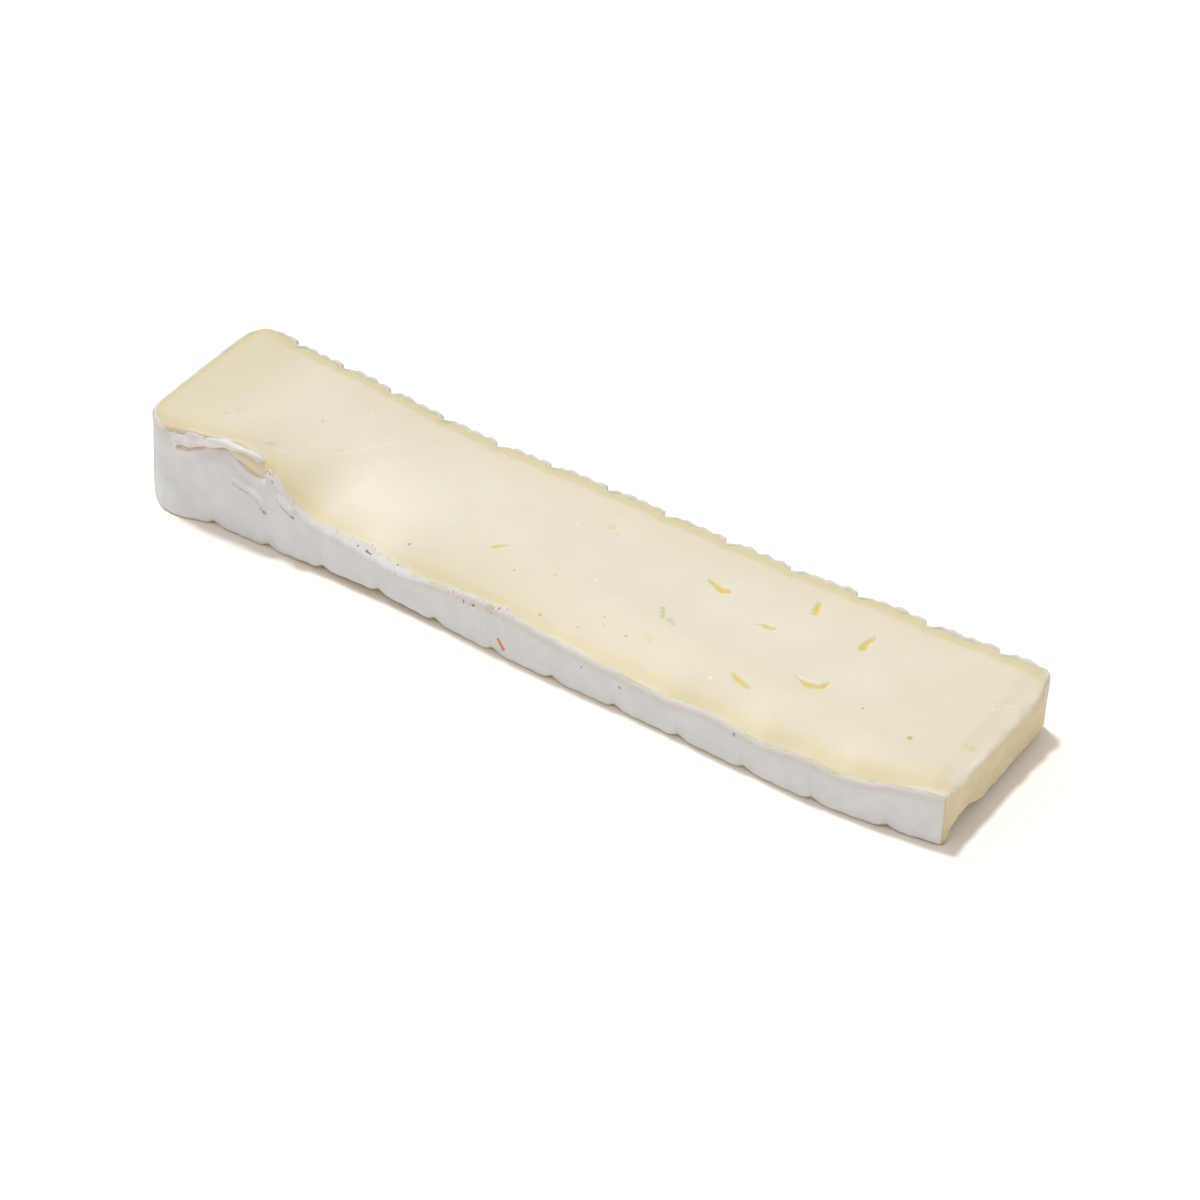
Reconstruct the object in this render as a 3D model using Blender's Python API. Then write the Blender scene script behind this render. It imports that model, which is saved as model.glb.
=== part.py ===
"""A long slice of soft white-rinded cheese, cut from rim to centre and lying on one cut face.

Metres, +Z up. The slice runs along X, from the wheel's rounded rim at -X to the straight
cut at +X. The wheel's two flat faces are its long sides, towards -Y and +Y. The origin is
under the middle of the slice, on the surface that it lies on.
"""
import math

import bmesh
import bpy
import numpy as np

MM = 0.001

# Driving dimensions of the slice
LENGTH = 167.5 * MM
RIM_CORNER = 6.5 * MM
RIM_BULGE = 0.5 * MM
RIM_LEAN = 1.7 * MM
RIM_LEAN_HEIGHT = 17.0 * MM

# Lines along the slice, each a few (distance from the rim, value) stations in millimetres
FRONT_LINE = ((0, 0.0), (25, 0.4), (50, 0.3), (70, -0.3), (88, -1.2), (112, -1.7),
              (132, -2.5), (148, -2.7), (159, -1.6), (168, -0.1))
BACK_LINE = ((0, 34.8), (60, 34.8), (100, 35.1), (130, 35.2), (168, 35.0))
TOP_FRONT = ((0, 18.0), (7, 18.9), (15, 19.4), (24, 19.9), (33, 18.3), (42, 16.1), (52, 14.1),
             (64, 12.5), (80, 11.4), (100, 10.5), (118, 9.9), (140, 9.8), (158, 10.2), (168, 10.6))
TOP_BACK = ((0, 21.1), (9, 19.3), (21, 18.5), (32, 17.3), (43, 15.9), (55, 15.0), (77, 14.5),
            (88, 14.1), (100, 13.4), (119, 12.6), (139, 12.5), (158, 11.7), (168, 11.2))
RIND_EDGE = ((0, 16.2), (7, 17.6), (15, 18.9), (24, 19.4), (29, 17.6), (33, 14.6), (37, 11.0),
             (48, 8.5), (59, 7.2), (70, 8.5), (80, 9.5), (90, 8.8), (99, 7.9), (108, 7.3), (117, 6.8),
             (126, 7.8), (135, 6.8), (143, 7.8), (151, 7.1), (160, 8.8), (168, 9.8))

# Slumped margins of the top, which is lowest along the front rind, and the sloping facet that
# the knife left at the cut end, which the rind on both sides holds up
FRONT_SHOULDER = ((0, 3.0), (15, 3.5), (22, 6.0), (28, 12.0), (36, 20.0), (48, 26.0), (62, 26.0),
                  (80, 18.0), (100, 14.0), (130, 12.0), (150, 10.0), (160, 7.0), (168, 4.0))
FRONT_SHOULDER_BEND = 1.5
BACK_SHOULDER = 2.2 * MM
BACK_SHOULDER_DROP = 0.35 * MM
RIM_SHOULDER = 3.0 * MM
RIM_SHOULDER_DROP = 0.4 * MM
CUT_SHOULDER = 3.8 * MM
CUT_SHOULDER_DROP = 1.7 * MM
CUT_SHOULDER_BEND = 1.5
RIND_HOLD = 0.8
RIND_HOLD_REACH = 5.0 * MM
TOP_SAG = 0.25 * MM

# Rind lip along the top of the front face
LIP_WIDTH = 1.7 * MM
LIP_PROUD = 0.28 * MM
LIP_WAVE = 0.16 * MM
LIP_WAVE_PITCHES = (7.3 * MM, 3.1 * MM)

# Mat marks pressed into the flat faces: a groove at every strip, with ribs between the grooves.
# Each mat is (first groove from the rim, pitch, growth of the pitch from groove to groove).
BACK_MAT = (9.1 * MM, 10.87 * MM, 0.117 * MM)
FRONT_MAT = (3.6 * MM, 12.9 * MM, 0.0)
GROOVE_DEPTH = 1.1 * MM
FACE_LEVEL = 0.8
GROOVE_FLOOR = 0.08
GROOVE_RISE = 0.20
GROOVE_FALL = 0.96
STRIP_RIBS = 3
RIB_HEIGHT = 0.38 * MM
FRONT_MAT_SHARE = 0.3
FRONT_MAT_FADE = 0.65
FRONT_MAT_FADE_HEIGHT = 6.0 * MM
RELIEF_REACH = 2.6 * MM
MARKS_START = 0.6 * RIM_CORNER

# Foot of the front rind, squashed outwards close to the rim
FOOT_FLARE = 1.6 * MM
FOOT_FLARE_MIDDLE = 9.0 * MM
FOOT_FLARE_HALF = 8.0 * MM
FOOT_FLARE_HEIGHT = 9.0 * MM

# Underside: flat where it rests, lifted under part of the front rind and at the cut end,
# where it arches up behind the foot of the front rind
FRONT_LIFT = 1.0 * MM
FRONT_LIFT_MIDDLE = 54.0 * MM
FRONT_LIFT_HALF = 24.0 * MM
FRONT_LIFT_REACH = 9.0 * MM
END_LIFT = 1.5 * MM
END_LIFT_LENGTH = 22.0 * MM
END_ARCH = 1.9 * MM
END_ARCH_MIDDLE = 6.2 * MM
END_ARCH_HALF = 6.5 * MM
END_FOOT = 0.6 * MM
END_FOOT_SLOPE = 2.4 * MM
NOTCH_HEIGHT = 0.55 * MM
NOTCH_HALF = 1.5 * MM
NOTCH_REACH = 1.6 * MM

# Rounded edges
TOP_EDGE = 0.8 * MM
BOTTOM_EDGE = 0.6 * MM
HALF_TURN_SHARE = 1 - math.sqrt(0.5)
SHARP_ANGLE = math.radians(40)

# Grid of the skin: cuts along each mat strip, insets from the sides and ends, shares of the height
STRIP_CUTS = (0.0, GROOVE_FLOOR, GROOVE_RISE, 0.327, 0.453, 0.580, 0.707, 0.833, GROOVE_FALL)
CUT_SPACE = 0.5 * MM
SIDE_INSETS = (0.8 * MM, 1.7 * MM, 3.0 * MM, 4.8 * MM)
MIDDLE_SHARES = (0.20, 0.33, 0.5, 0.70)
END_INSETS = (0.8 * MM, 1.9 * MM, 3.0 * MM, 4.2 * MM)
WALL_SHARES = (0.0, 0.2, 0.4, 0.6, 0.8, 1.0)
PLAN_ROUNDS = 3

# Crack in the rind under the flap near the rim: stations (distance from the rim, height)
CRACK_LINE = ((9.0, 15.2), (13.0, 15.6), (17.0, 16.7), (21.0, 17.3), (25.0, 17.6))
CRACK_DEPTH = 1.1 * MM
CRACK_MOUTH = 0.5 * MM
CRACK_END_SHARE = 0.4

# Eyes in the paste: distance from the rim, distance across, length, width and depth in
# millimetres, and turn in degrees
EYES = (
    (73.8, 11.8, 3.3, 0.8, 0.5, 45),
    (111.4, 23.4, 4.5, 1.7, 0.9, -2),
    (122.9, 19.2, 3.6, 0.9, 0.7, 20),
    (127.3, 27.4, 2.7, 2.2, 0.8, 20),
    (139.2, 23.9, 3.2, 1.4, 0.9, 78),
    (126.9, 5.8, 4.8, 0.9, 0.6, -13),
    (136.4, 11.8, 5.4, 1.2, 0.8, 20),
)
EYE_SUBDIVISIONS = 2

PASTE_COLOR = (0.80, 0.72, 0.55)
PASTE_ROUGHNESS = 0.45
MERGE_DISTANCE = 0.000001


def ease(t):
    """Smooth step from 0 to 1."""
    t = np.clip(t, 0.0, 1.0)
    return t * t * (3 - 2 * t)


def along(stations, x):
    """Smooth line through stations given in millimetres, read at x metres."""
    places = np.array([s[0] for s in stations]) * MM
    values = np.array([s[1] for s in stations]) * MM
    slopes = np.gradient(values, places)
    x = np.clip(x, places[0], places[-1])
    i = np.clip(np.searchsorted(places, x) - 1, 0, len(places) - 2)
    span = places[i + 1] - places[i]
    t = (x - places[i]) / span
    rise = values[i + 1] - values[i]
    bend_in = (1 - t) * (slopes[i] * span - rise)
    bend_out = t * (slopes[i + 1] * span - rise)
    return values[i] + rise * t + t * (1 - t) * (bend_in - bend_out)


def mat_place(x, mat):
    """Count of mat strips between the first groove and x, with the part strip as a fraction."""
    first, pitch, growth = mat
    if growth == 0:
        return (x - first) / pitch
    return (np.sqrt(np.maximum(pitch * pitch + 4 * growth * (x - first), 0.0)) - pitch) / (2 * growth)


def mat_groove_at(count, mat):
    """Distance from the rim of a place counted in mat strips."""
    first, pitch, growth = mat
    return first + pitch * count + growth * count * count


def mat_marks(x, mat):
    """How far the flat face stands out at x: ribs, and a groove with one slow and one steep side."""
    phase = np.mod(mat_place(x, mat), 1.0)
    strip = ease((phase - GROOVE_FLOOR) / (GROOVE_RISE - GROOVE_FLOOR))
    strip = strip * ease((1 - phase) / (1 - GROOVE_FALL))
    rib_place = np.clip((phase - GROOVE_RISE) / (GROOVE_FALL - GROOVE_RISE), 0.0, 1.0)
    ribs = 0.5 - 0.5 * np.cos(2 * np.pi * STRIP_RIBS * rib_place)
    return GROOVE_DEPTH * (strip - FACE_LEVEL) + RIB_HEIGHT * ribs


def rim_line(inset_front, inset_back):
    """Distance of the rim's outline from x = 0 where the sides are this far away."""
    near = np.minimum(inset_front, inset_back)
    gap = np.clip(1 - near / RIM_CORNER, 0.0, 1.0)
    corner = RIM_CORNER * (1 - np.sqrt(np.clip(1 - gap * gap, 0.0, 1.0)))
    share = inset_front / (inset_front + inset_back)
    return corner + RIM_BULGE * (2 * share - 1) ** 2


def top_height(x, inset_front, inset_back):
    """Height of the cut top, with its slumped margins and the lip of rind along the front."""
    width = inset_front + inset_back
    share = inset_front / width
    front = along(TOP_FRONT, x)
    plane = front + (along(TOP_BACK, x) - front) * share - TOP_SAG * np.sin(np.pi * share)
    to_rind = np.clip(1 - inset_front / along(FRONT_SHOULDER, x), 0.0, 1.0)
    slump = (front - along(RIND_EDGE, x)) * to_rind ** FRONT_SHOULDER_BEND
    slump = slump + BACK_SHOULDER_DROP * (1 - ease(inset_back / BACK_SHOULDER))
    slump = slump + RIM_SHOULDER_DROP * (1 - ease(x / RIM_SHOULDER))
    to_cut = np.clip(1 - (LENGTH - x) / CUT_SHOULDER, 0.0, 1.0)
    held = RIND_HOLD * (1 - ease(np.minimum(inset_front, inset_back) / RIND_HOLD_REACH))
    slump = slump + CUT_SHOULDER_DROP * to_cut ** CUT_SHOULDER_BEND * (1 - held)
    lip = LIP_PROUD * (1 - ease(inset_front / LIP_WIDTH))
    for pitch in LIP_WAVE_PITCHES:
        lip = lip + LIP_WAVE * np.sin(2 * np.pi * x / pitch) * (1 - ease(inset_front / LIP_WIDTH))
    return plane - slump + lip


def bottom_height(x, inset_front):
    """Height of the underside over the surface that the slice lies on."""
    reach = 1 - ease(inset_front / FRONT_LIFT_REACH)
    lift = FRONT_LIFT * (1 - ease(np.abs(x - FRONT_LIFT_MIDDLE) / FRONT_LIFT_HALF)) * reach
    end = ease((x - LENGTH + END_LIFT_LENGTH) / END_LIFT_LENGTH)
    arch = END_ARCH * (1 - ease(np.abs(inset_front - END_ARCH_MIDDLE) / END_ARCH_HALF))
    lift = lift + (END_LIFT + arch) * end * ease((inset_front - END_FOOT) / END_FOOT_SLOPE)
    from_groove = np.abs(np.mod(mat_place(x, FRONT_MAT) + 0.5, 1.0) - 0.5) * FRONT_MAT[1]
    notch = NOTCH_HEIGHT * (1 - ease(from_groove / NOTCH_HALF)) * (1 - ease(inset_front / NOTCH_REACH))
    return lift + notch


def skin_point(u, inset_front, share_up, on_rim, on_front, on_back, edge_up, edge_down):
    """Position on the slice's skin.

    u runs from the rim to the cut end, and inset_front is (metres, share of the width)
    from the front. share_up is the height between the rounded edges. The flags say which
    walls the point lies on, and whether it is on a wall's upper or lower edge.
    """
    inset_metres, inset_share = inset_front
    x = LENGTH * u
    for _ in range(PLAN_ROUNDS):
        front = along(FRONT_LINE, x)
        width = along(BACK_LINE, x) - front
        from_front = inset_metres + inset_share * width
        rim = rim_line(from_front, width - from_front)
        x = rim + (LENGTH - rim) * u
    front = along(FRONT_LINE, x)
    width = along(BACK_LINE, x) - front
    from_front = inset_metres + inset_share * width
    from_back = width - from_front
    y = front + from_front

    out_x = 0.0
    out_y = 0.0
    if on_rim:
        corner_y = RIM_CORNER - min(from_front, from_back)
        corner_x = RIM_CORNER - x
        if corner_y > 0:
            side = -1.0 if from_front < from_back else 1.0
            reach = math.hypot(corner_x, corner_y)
            out_x = -max(corner_x, 0.0) / reach
            out_y = side * corner_y / reach
        else:
            out_x = -1.0
    elif on_front:
        out_y = -1.0
    elif on_back:
        out_y = 1.0
    on_wall = on_rim or on_front or on_back

    top = top_height(x, from_front, from_back)
    bottom = bottom_height(x, from_front)
    if share_up is None:
        z = bottom if edge_down else top
        if on_wall:
            z = z + HALF_TURN_SHARE * (BOTTOM_EDGE if edge_down else -TOP_EDGE)
    else:
        low = bottom + BOTTOM_EDGE
        z = low + (top - TOP_EDGE - low) * share_up

    push = 0.0
    if on_wall and edge_up:
        push = -HALF_TURN_SHARE * TOP_EDGE
    if on_wall and edge_down:
        push = -HALF_TURN_SHARE * BOTTOM_EDGE
    x = x + out_x * push
    y = y + out_y * push

    lean = RIM_LEAN * (1 - ease(x / (2 * RIM_CORNER))) * ease(1 - z / RIM_LEAN_HEIGHT)
    away_from_rim = ease((x - MARKS_START) / RIM_CORNER)
    near_front = math.exp(-from_front / RELIEF_REACH)
    near_back = math.exp(-from_back / RELIEF_REACH)
    front_share = FRONT_MAT_SHARE * (1 - FRONT_MAT_FADE * ease(z / FRONT_MAT_FADE_HEIGHT))
    front_relief = front_share * mat_marks(x, FRONT_MAT) * near_front
    back_relief = mat_marks(x, BACK_MAT) * near_back
    y = y + (back_relief - front_relief) * away_from_rim
    flare = FOOT_FLARE * (1 - ease(abs(x - FOOT_FLARE_MIDDLE) / FOOT_FLARE_HALF))
    y = y - flare * (1 - ease(z / FOOT_FLARE_HEIGHT)) * near_front
    return (float(x - lean), float(y), float(z))


def rows_across():
    """Insets from the front as (metres, share of the width), from the front side to the back."""
    rows = [(0.0, 0.0)]
    rows += [(inset, 0.0) for inset in SIDE_INSETS]
    rows += [(0.0, share) for share in MIDDLE_SHARES]
    rows += [(-inset, 1.0) for inset in reversed(SIDE_INSETS)]
    return rows + [(0.0, 1.0)]


def rows_along():
    """Shares of the length: the same cuts along every mat strip, and closer cuts at the two ends."""
    ends = [0.0] + list(END_INSETS)
    low = ends[-1] + CUT_SPACE
    high = LENGTH - low
    strips = range(-1, math.ceil(mat_place(LENGTH, BACK_MAT)))
    cuts = [mat_groove_at(strip + cut, BACK_MAT) for strip in strips for cut in STRIP_CUTS]
    places = ends + [cut for cut in cuts if low < cut < high] + [LENGTH - end for end in reversed(ends)]
    return [place / LENGTH for place in places]


def make_skin():
    """Closed skin of the whole slice: a box lattice of which only the outside is kept."""
    along_rows = rows_along()
    across_rows = rows_across()
    up_rows = [None] + list(WALL_SHARES) + [None]
    last = (len(along_rows) - 1, len(across_rows) - 1, len(up_rows) - 1)
    bm = bmesh.new()
    corners = {}

    def vertex(i, j, k):
        key = (i, j, k)
        if key not in corners:
            place = skin_point(along_rows[i], across_rows[j], up_rows[k],
                               on_rim=i == 0, on_front=j == 0, on_back=j == last[1],
                               edge_up=k == last[2], edge_down=k == 0)
            corners[key] = bm.verts.new(place)
        return corners[key]

    def face(*keys):
        bm.faces.new([vertex(*key) for key in keys])

    for i in range(last[0]):
        for j in range(last[1]):
            face((i, j, 0), (i, j + 1, 0), (i + 1, j + 1, 0), (i + 1, j, 0))
            face((i, j, last[2]), (i + 1, j, last[2]), (i + 1, j + 1, last[2]), (i, j + 1, last[2]))
    for k in range(last[2]):
        for i in range(last[0]):
            face((i, 0, k), (i + 1, 0, k), (i + 1, 0, k + 1), (i, 0, k + 1))
            face((i, last[1], k), (i, last[1], k + 1), (i + 1, last[1], k + 1), (i + 1, last[1], k))
        for j in range(last[1]):
            face((0, j, k), (0, j, k + 1), (0, j + 1, k + 1), (0, j + 1, k))
            face((last[0], j, k), (last[0], j + 1, k), (last[0], j + 1, k + 1), (last[0], j, k + 1))
    flatten_rest(bm)
    return bm


def flatten_rest(bm):
    """Join the faces of the flat rest on the underside into few large ones."""
    resting = [f for f in bm.faces if all(abs(v.co.z) < MERGE_DISTANCE for v in f.verts)]
    region = bmesh.ops.dissolve_faces(bm, faces=resting, use_verts=True)["region"]
    bmesh.ops.triangulate(bm, faces=region)


def centre_on_base(points):
    """Offset that puts the origin under the middle of the slice."""
    low = np.min(points, axis=0)
    high = np.max(points, axis=0)
    return -np.array([(low[0] + high[0]) / 2, (low[1] + high[1]) / 2, low[2]])


def add_object(name, bm, offset):
    """New object from a bmesh, moved by the offset."""
    bmesh.ops.translate(bm, verts=bm.verts, vec=offset)
    bmesh.ops.recalc_face_normals(bm, faces=bm.faces)
    mesh = bpy.data.meshes.new(name)
    bm.to_mesh(mesh)
    bm.free()
    made = bpy.data.objects.new(name, mesh)
    bpy.context.scene.collection.objects.link(made)
    return made


def make_eye_cutters():
    """Small flattened balls, sunk to their middles in the top, one for each eye."""
    bm = bmesh.new()
    for distance, across, length, width, depth, turn in EYES:
        x = distance * MM
        y = across * MM
        inset_front = y - along(FRONT_LINE, x)
        inset_back = along(BACK_LINE, x) - y
        z = top_height(x, inset_front, inset_back)
        ball = bmesh.ops.create_icosphere(bm, subdivisions=EYE_SUBDIVISIONS, radius=1.0)["verts"]
        bmesh.ops.scale(bm, verts=ball, vec=(length * MM / 2, width * MM / 2, depth * MM))
        turn_about = np.radians(turn)
        for v in ball:
            east = v.co.x * math.cos(turn_about) - v.co.y * math.sin(turn_about)
            north = v.co.x * math.sin(turn_about) + v.co.y * math.cos(turn_about)
            v.co = (x + east, y + north, z + v.co.z)
    return bm


def make_crack_cutter():
    """Long thin wedge that opens the crack in the front rind."""
    bm = bmesh.new()
    rings = []
    outside = 2 * CRACK_DEPTH
    for distance, height in CRACK_LINE:
        x = distance * MM
        y = along(FRONT_LINE, x)
        z = height * MM
        at_end = distance in (CRACK_LINE[0][0], CRACK_LINE[-1][0])
        share = CRACK_END_SHARE if at_end else 1.0
        mouth = CRACK_MOUTH * share
        depth = CRACK_DEPTH * share
        spread = mouth * (outside + depth) / depth
        rings.append([bm.verts.new((x, y + depth, z)),
                      bm.verts.new((x, y - outside, z + spread / 2)),
                      bm.verts.new((x, y - outside, z - spread / 2))])
    for ring, following in zip(rings, rings[1:]):
        for a in range(3):
            b = (a + 1) % 3
            bm.faces.new((ring[a], ring[b], following[b], following[a]))
    bm.faces.new(reversed(rings[0]))
    bm.faces.new(rings[-1])
    return bm


def paste_material():
    """Ivory paste of the cheese."""
    material = bpy.data.materials.new("paste")
    material.use_nodes = True
    shader = material.node_tree.nodes["Principled BSDF"]
    shader.inputs["Base Color"].default_value = (*PASTE_COLOR, 1.0)
    shader.inputs["Roughness"].default_value = PASTE_ROUGHNESS
    shader.inputs["Metallic"].default_value = 0.0
    return material


def cut_with(target, cutter):
    """Exact cut of the target by a cutter that stays in the file as a wire guide."""
    cutter.hide_render = True
    cutter.display_type = 'WIRE'
    cut = target.modifiers.new("cut_" + cutter.name, 'BOOLEAN')
    cut.operation = 'DIFFERENCE'
    cut.solver = 'EXACT'
    cut.object = cutter


for leftover in list(bpy.data.objects):
    bpy.data.objects.remove(leftover, do_unlink=True)

skin = make_skin()
offset = centre_on_base([tuple(v.co) for v in skin.verts])
slice_body = add_object("brie_log", skin, offset)
slice_body.data.materials.append(paste_material())
slice_body.data.shade_smooth()
slice_body.data.set_sharp_from_angle(angle=SHARP_ANGLE)
cut_with(slice_body, add_object("eye_cutters", make_eye_cutters(), offset))
cut_with(slice_body, add_object("crack_cutter", make_crack_cutter(), offset))
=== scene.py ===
import math

import bpy
import numpy as np
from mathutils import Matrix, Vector


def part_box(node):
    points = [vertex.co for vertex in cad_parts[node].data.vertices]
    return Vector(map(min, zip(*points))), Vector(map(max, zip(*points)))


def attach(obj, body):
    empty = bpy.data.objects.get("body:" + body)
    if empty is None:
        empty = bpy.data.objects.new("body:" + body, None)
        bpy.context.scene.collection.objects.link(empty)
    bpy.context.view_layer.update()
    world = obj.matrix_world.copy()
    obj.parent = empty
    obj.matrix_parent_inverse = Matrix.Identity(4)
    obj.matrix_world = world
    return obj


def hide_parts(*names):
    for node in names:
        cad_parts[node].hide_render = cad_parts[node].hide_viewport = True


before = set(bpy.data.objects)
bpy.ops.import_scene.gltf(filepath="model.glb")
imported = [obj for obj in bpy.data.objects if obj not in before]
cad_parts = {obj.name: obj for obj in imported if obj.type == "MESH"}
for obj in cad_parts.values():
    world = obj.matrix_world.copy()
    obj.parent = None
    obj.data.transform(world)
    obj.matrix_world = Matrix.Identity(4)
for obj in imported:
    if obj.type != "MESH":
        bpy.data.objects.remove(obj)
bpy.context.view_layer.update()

# The paste: soft ivory curd, ripened in a flat wheel and cut with a knife from rim to centre.
# It has flowed a little since, so its top sags in a long wedge from the thick rim to the thin
# cut end, and its margins have slumped under the rind. Seven slit-like eyes lie in the cut.
MM = 0.001
LENGTH = 167.5
RIM_CORNER = 6.5
RIM_BULGE = 0.5
FRONT_LINE = ((0, 0.0), (25, 0.4), (50, 0.3), (70, -0.3), (88, -1.2), (112, -1.7),
              (132, -2.5), (148, -2.7), (159, -1.6), (168, -0.1))
BACK_LINE = ((0, 34.8), (60, 34.8), (100, 35.1), (130, 35.2), (168, 35.0))
TOP_FRONT = ((0, 18.0), (7, 18.9), (15, 19.4), (24, 19.9), (33, 18.3), (42, 16.1), (52, 14.1),
             (64, 12.5), (80, 11.4), (100, 10.5), (118, 9.9), (140, 9.8), (158, 10.2), (168, 10.6))
TOP_BACK = ((0, 21.1), (9, 19.3), (21, 18.5), (32, 17.3), (43, 15.9), (55, 15.0), (77, 14.5),
            (88, 14.1), (100, 13.4), (119, 12.6), (139, 12.5), (158, 11.7), (168, 11.2))
RIND_EDGE = ((0, 16.2), (7, 17.6), (15, 18.9), (24, 19.4), (29, 17.6), (33, 14.6), (37, 11.0),
             (48, 8.5), (59, 7.2), (70, 8.5), (80, 9.5), (90, 8.8), (99, 7.9), (108, 7.3), (117, 6.8),
             (126, 7.8), (135, 6.8), (143, 7.8), (151, 7.1), (160, 8.8), (168, 9.8))
FRONT_SHOULDER = ((0, 3.0), (15, 3.5), (22, 6.0), (28, 12.0), (36, 20.0), (48, 26.0), (62, 26.0),
                  (80, 18.0), (100, 14.0), (130, 12.0), (150, 10.0), (160, 7.0), (168, 4.0))
FRONT_SHOULDER_BEND = 1.5
BACK_SHOULDER = 2.2
BACK_SHOULDER_DROP = 0.35
RIM_SHOULDER = 3.0
RIM_SHOULDER_DROP = 0.4
CUT_SHOULDER = 3.8
CUT_SHOULDER_DROP = 1.7
CUT_SHOULDER_BEND = 1.5
RIND_HOLD = 0.8
RIND_HOLD_REACH = 5.0
TOP_SAG = 0.25


def ease(t):
    """Smooth step from 0 to 1."""
    t = np.clip(t, 0.0, 1.0)
    return t * t * (3 - 2 * t)


def along(stations, x):
    """Smooth line through (distance from the rim, value) stations, read at x."""
    places = np.array([s[0] for s in stations], float)
    values = np.array([s[1] for s in stations], float)
    slopes = np.gradient(values, places)
    x = np.clip(x, places[0], places[-1])
    i = np.clip(np.searchsorted(places, x) - 1, 0, len(places) - 2)
    span = places[i + 1] - places[i]
    t = (x - places[i]) / span
    rise = values[i + 1] - values[i]
    bend_in = (1 - t) * (slopes[i] * span - rise)
    bend_out = t * (slopes[i + 1] * span - rise)
    return values[i] + rise * t + t * (1 - t) * (bend_in - bend_out)


def rim_line(inset_front, inset_back):
    """Distance of the rim's outline from x = 0 where the sides are this far away."""
    near = np.minimum(inset_front, inset_back)
    gap = np.clip(1 - near / RIM_CORNER, 0.0, 1.0)
    corner = RIM_CORNER * (1 - np.sqrt(np.clip(1 - gap * gap, 0.0, 1.0)))
    share = inset_front / (inset_front + inset_back)
    return corner + RIM_BULGE * (2 * share - 1) ** 2


def top_height(x, inset_front, inset_back):
    """Height of the cut top over the table, with its slumped margins."""
    share = inset_front / (inset_front + inset_back)
    front = along(TOP_FRONT, x)
    plane = front + (along(TOP_BACK, x) - front) * share - TOP_SAG * np.sin(np.pi * share)
    to_rind = np.clip(1 - inset_front / along(FRONT_SHOULDER, x), 0.0, 1.0)
    slump = (front - along(RIND_EDGE, x)) * to_rind ** FRONT_SHOULDER_BEND
    slump = slump + BACK_SHOULDER_DROP * (1 - ease(inset_back / BACK_SHOULDER))
    slump = slump + RIM_SHOULDER_DROP * (1 - ease(x / RIM_SHOULDER))
    to_cut = np.clip(1 - (LENGTH - x) / CUT_SHOULDER, 0.0, 1.0)
    held = RIND_HOLD * (1 - ease(np.minimum(inset_front, inset_back) / RIND_HOLD_REACH))
    return plane - slump - CUT_SHOULDER_DROP * to_cut ** CUT_SHOULDER_BEND * (1 - held)


# Underside: flat where it rests, lifted under part of the front rind and at the cut end
FRONT_MAT = (3.6, 12.9, 0.0)
FRONT_LIFT = 1.0
FRONT_LIFT_MIDDLE = 54.0
FRONT_LIFT_HALF = 24.0
FRONT_LIFT_REACH = 9.0
END_LIFT = 1.5
END_LIFT_LENGTH = 22.0
END_ARCH = 1.9
END_ARCH_MIDDLE = 6.2
END_ARCH_HALF = 6.5
END_FOOT = 0.6
END_FOOT_SLOPE = 2.4
NOTCH_HEIGHT = 0.55
NOTCH_HALF = 1.5
NOTCH_REACH = 1.6


def mat_place(x, mat):
    """Count of mat strips between the first groove and x, with the part strip as a fraction."""
    first, pitch, growth = mat
    if growth == 0:
        return (x - first) / pitch
    return (np.sqrt(np.maximum(pitch * pitch + 4 * growth * (x - first), 0.0)) - pitch) / (2 * growth)


def bottom_height(x, inset_front):
    """Height of the underside over the table."""
    reach = 1 - ease(inset_front / FRONT_LIFT_REACH)
    lift = FRONT_LIFT * (1 - ease(np.abs(x - FRONT_LIFT_MIDDLE) / FRONT_LIFT_HALF)) * reach
    end = ease((x - LENGTH + END_LIFT_LENGTH) / END_LIFT_LENGTH)
    arch = END_ARCH * (1 - ease(np.abs(inset_front - END_ARCH_MIDDLE) / END_ARCH_HALF))
    lift = lift + (END_LIFT + arch) * end * ease((inset_front - END_FOOT) / END_FOOT_SLOPE)
    from_groove = np.abs(np.mod(mat_place(x, FRONT_MAT) + 0.5, 1.0) - 0.5) * FRONT_MAT[1]
    notch = NOTCH_HEIGHT * (1 - ease(from_groove / NOTCH_HALF)) * (1 - ease(inset_front / NOTCH_REACH))
    return lift + notch


# Marks of the draining mat on both flat faces, the rim's lean and the squashed foot near it
BACK_MAT = (9.1, 10.87, 0.117)
GROOVE_DEPTH = 1.1
FACE_LEVEL = 0.8
GROOVE_FLOOR = 0.08
GROOVE_RISE = 0.20
GROOVE_FALL = 0.96
STRIP_RIBS = 3
RIB_HEIGHT = 0.38
FRONT_MAT_SHARE = 0.3
FRONT_MAT_FADE = 0.65
FRONT_MAT_FADE_HEIGHT = 6.0
RELIEF_REACH = 2.6
MARKS_START = 0.6 * RIM_CORNER
RIM_LEAN = 1.7
RIM_LEAN_HEIGHT = 17.0
FOOT_FLARE = 1.6
FOOT_FLARE_MIDDLE = 9.0
FOOT_FLARE_HALF = 8.0
FOOT_FLARE_HEIGHT = 9.0
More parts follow.
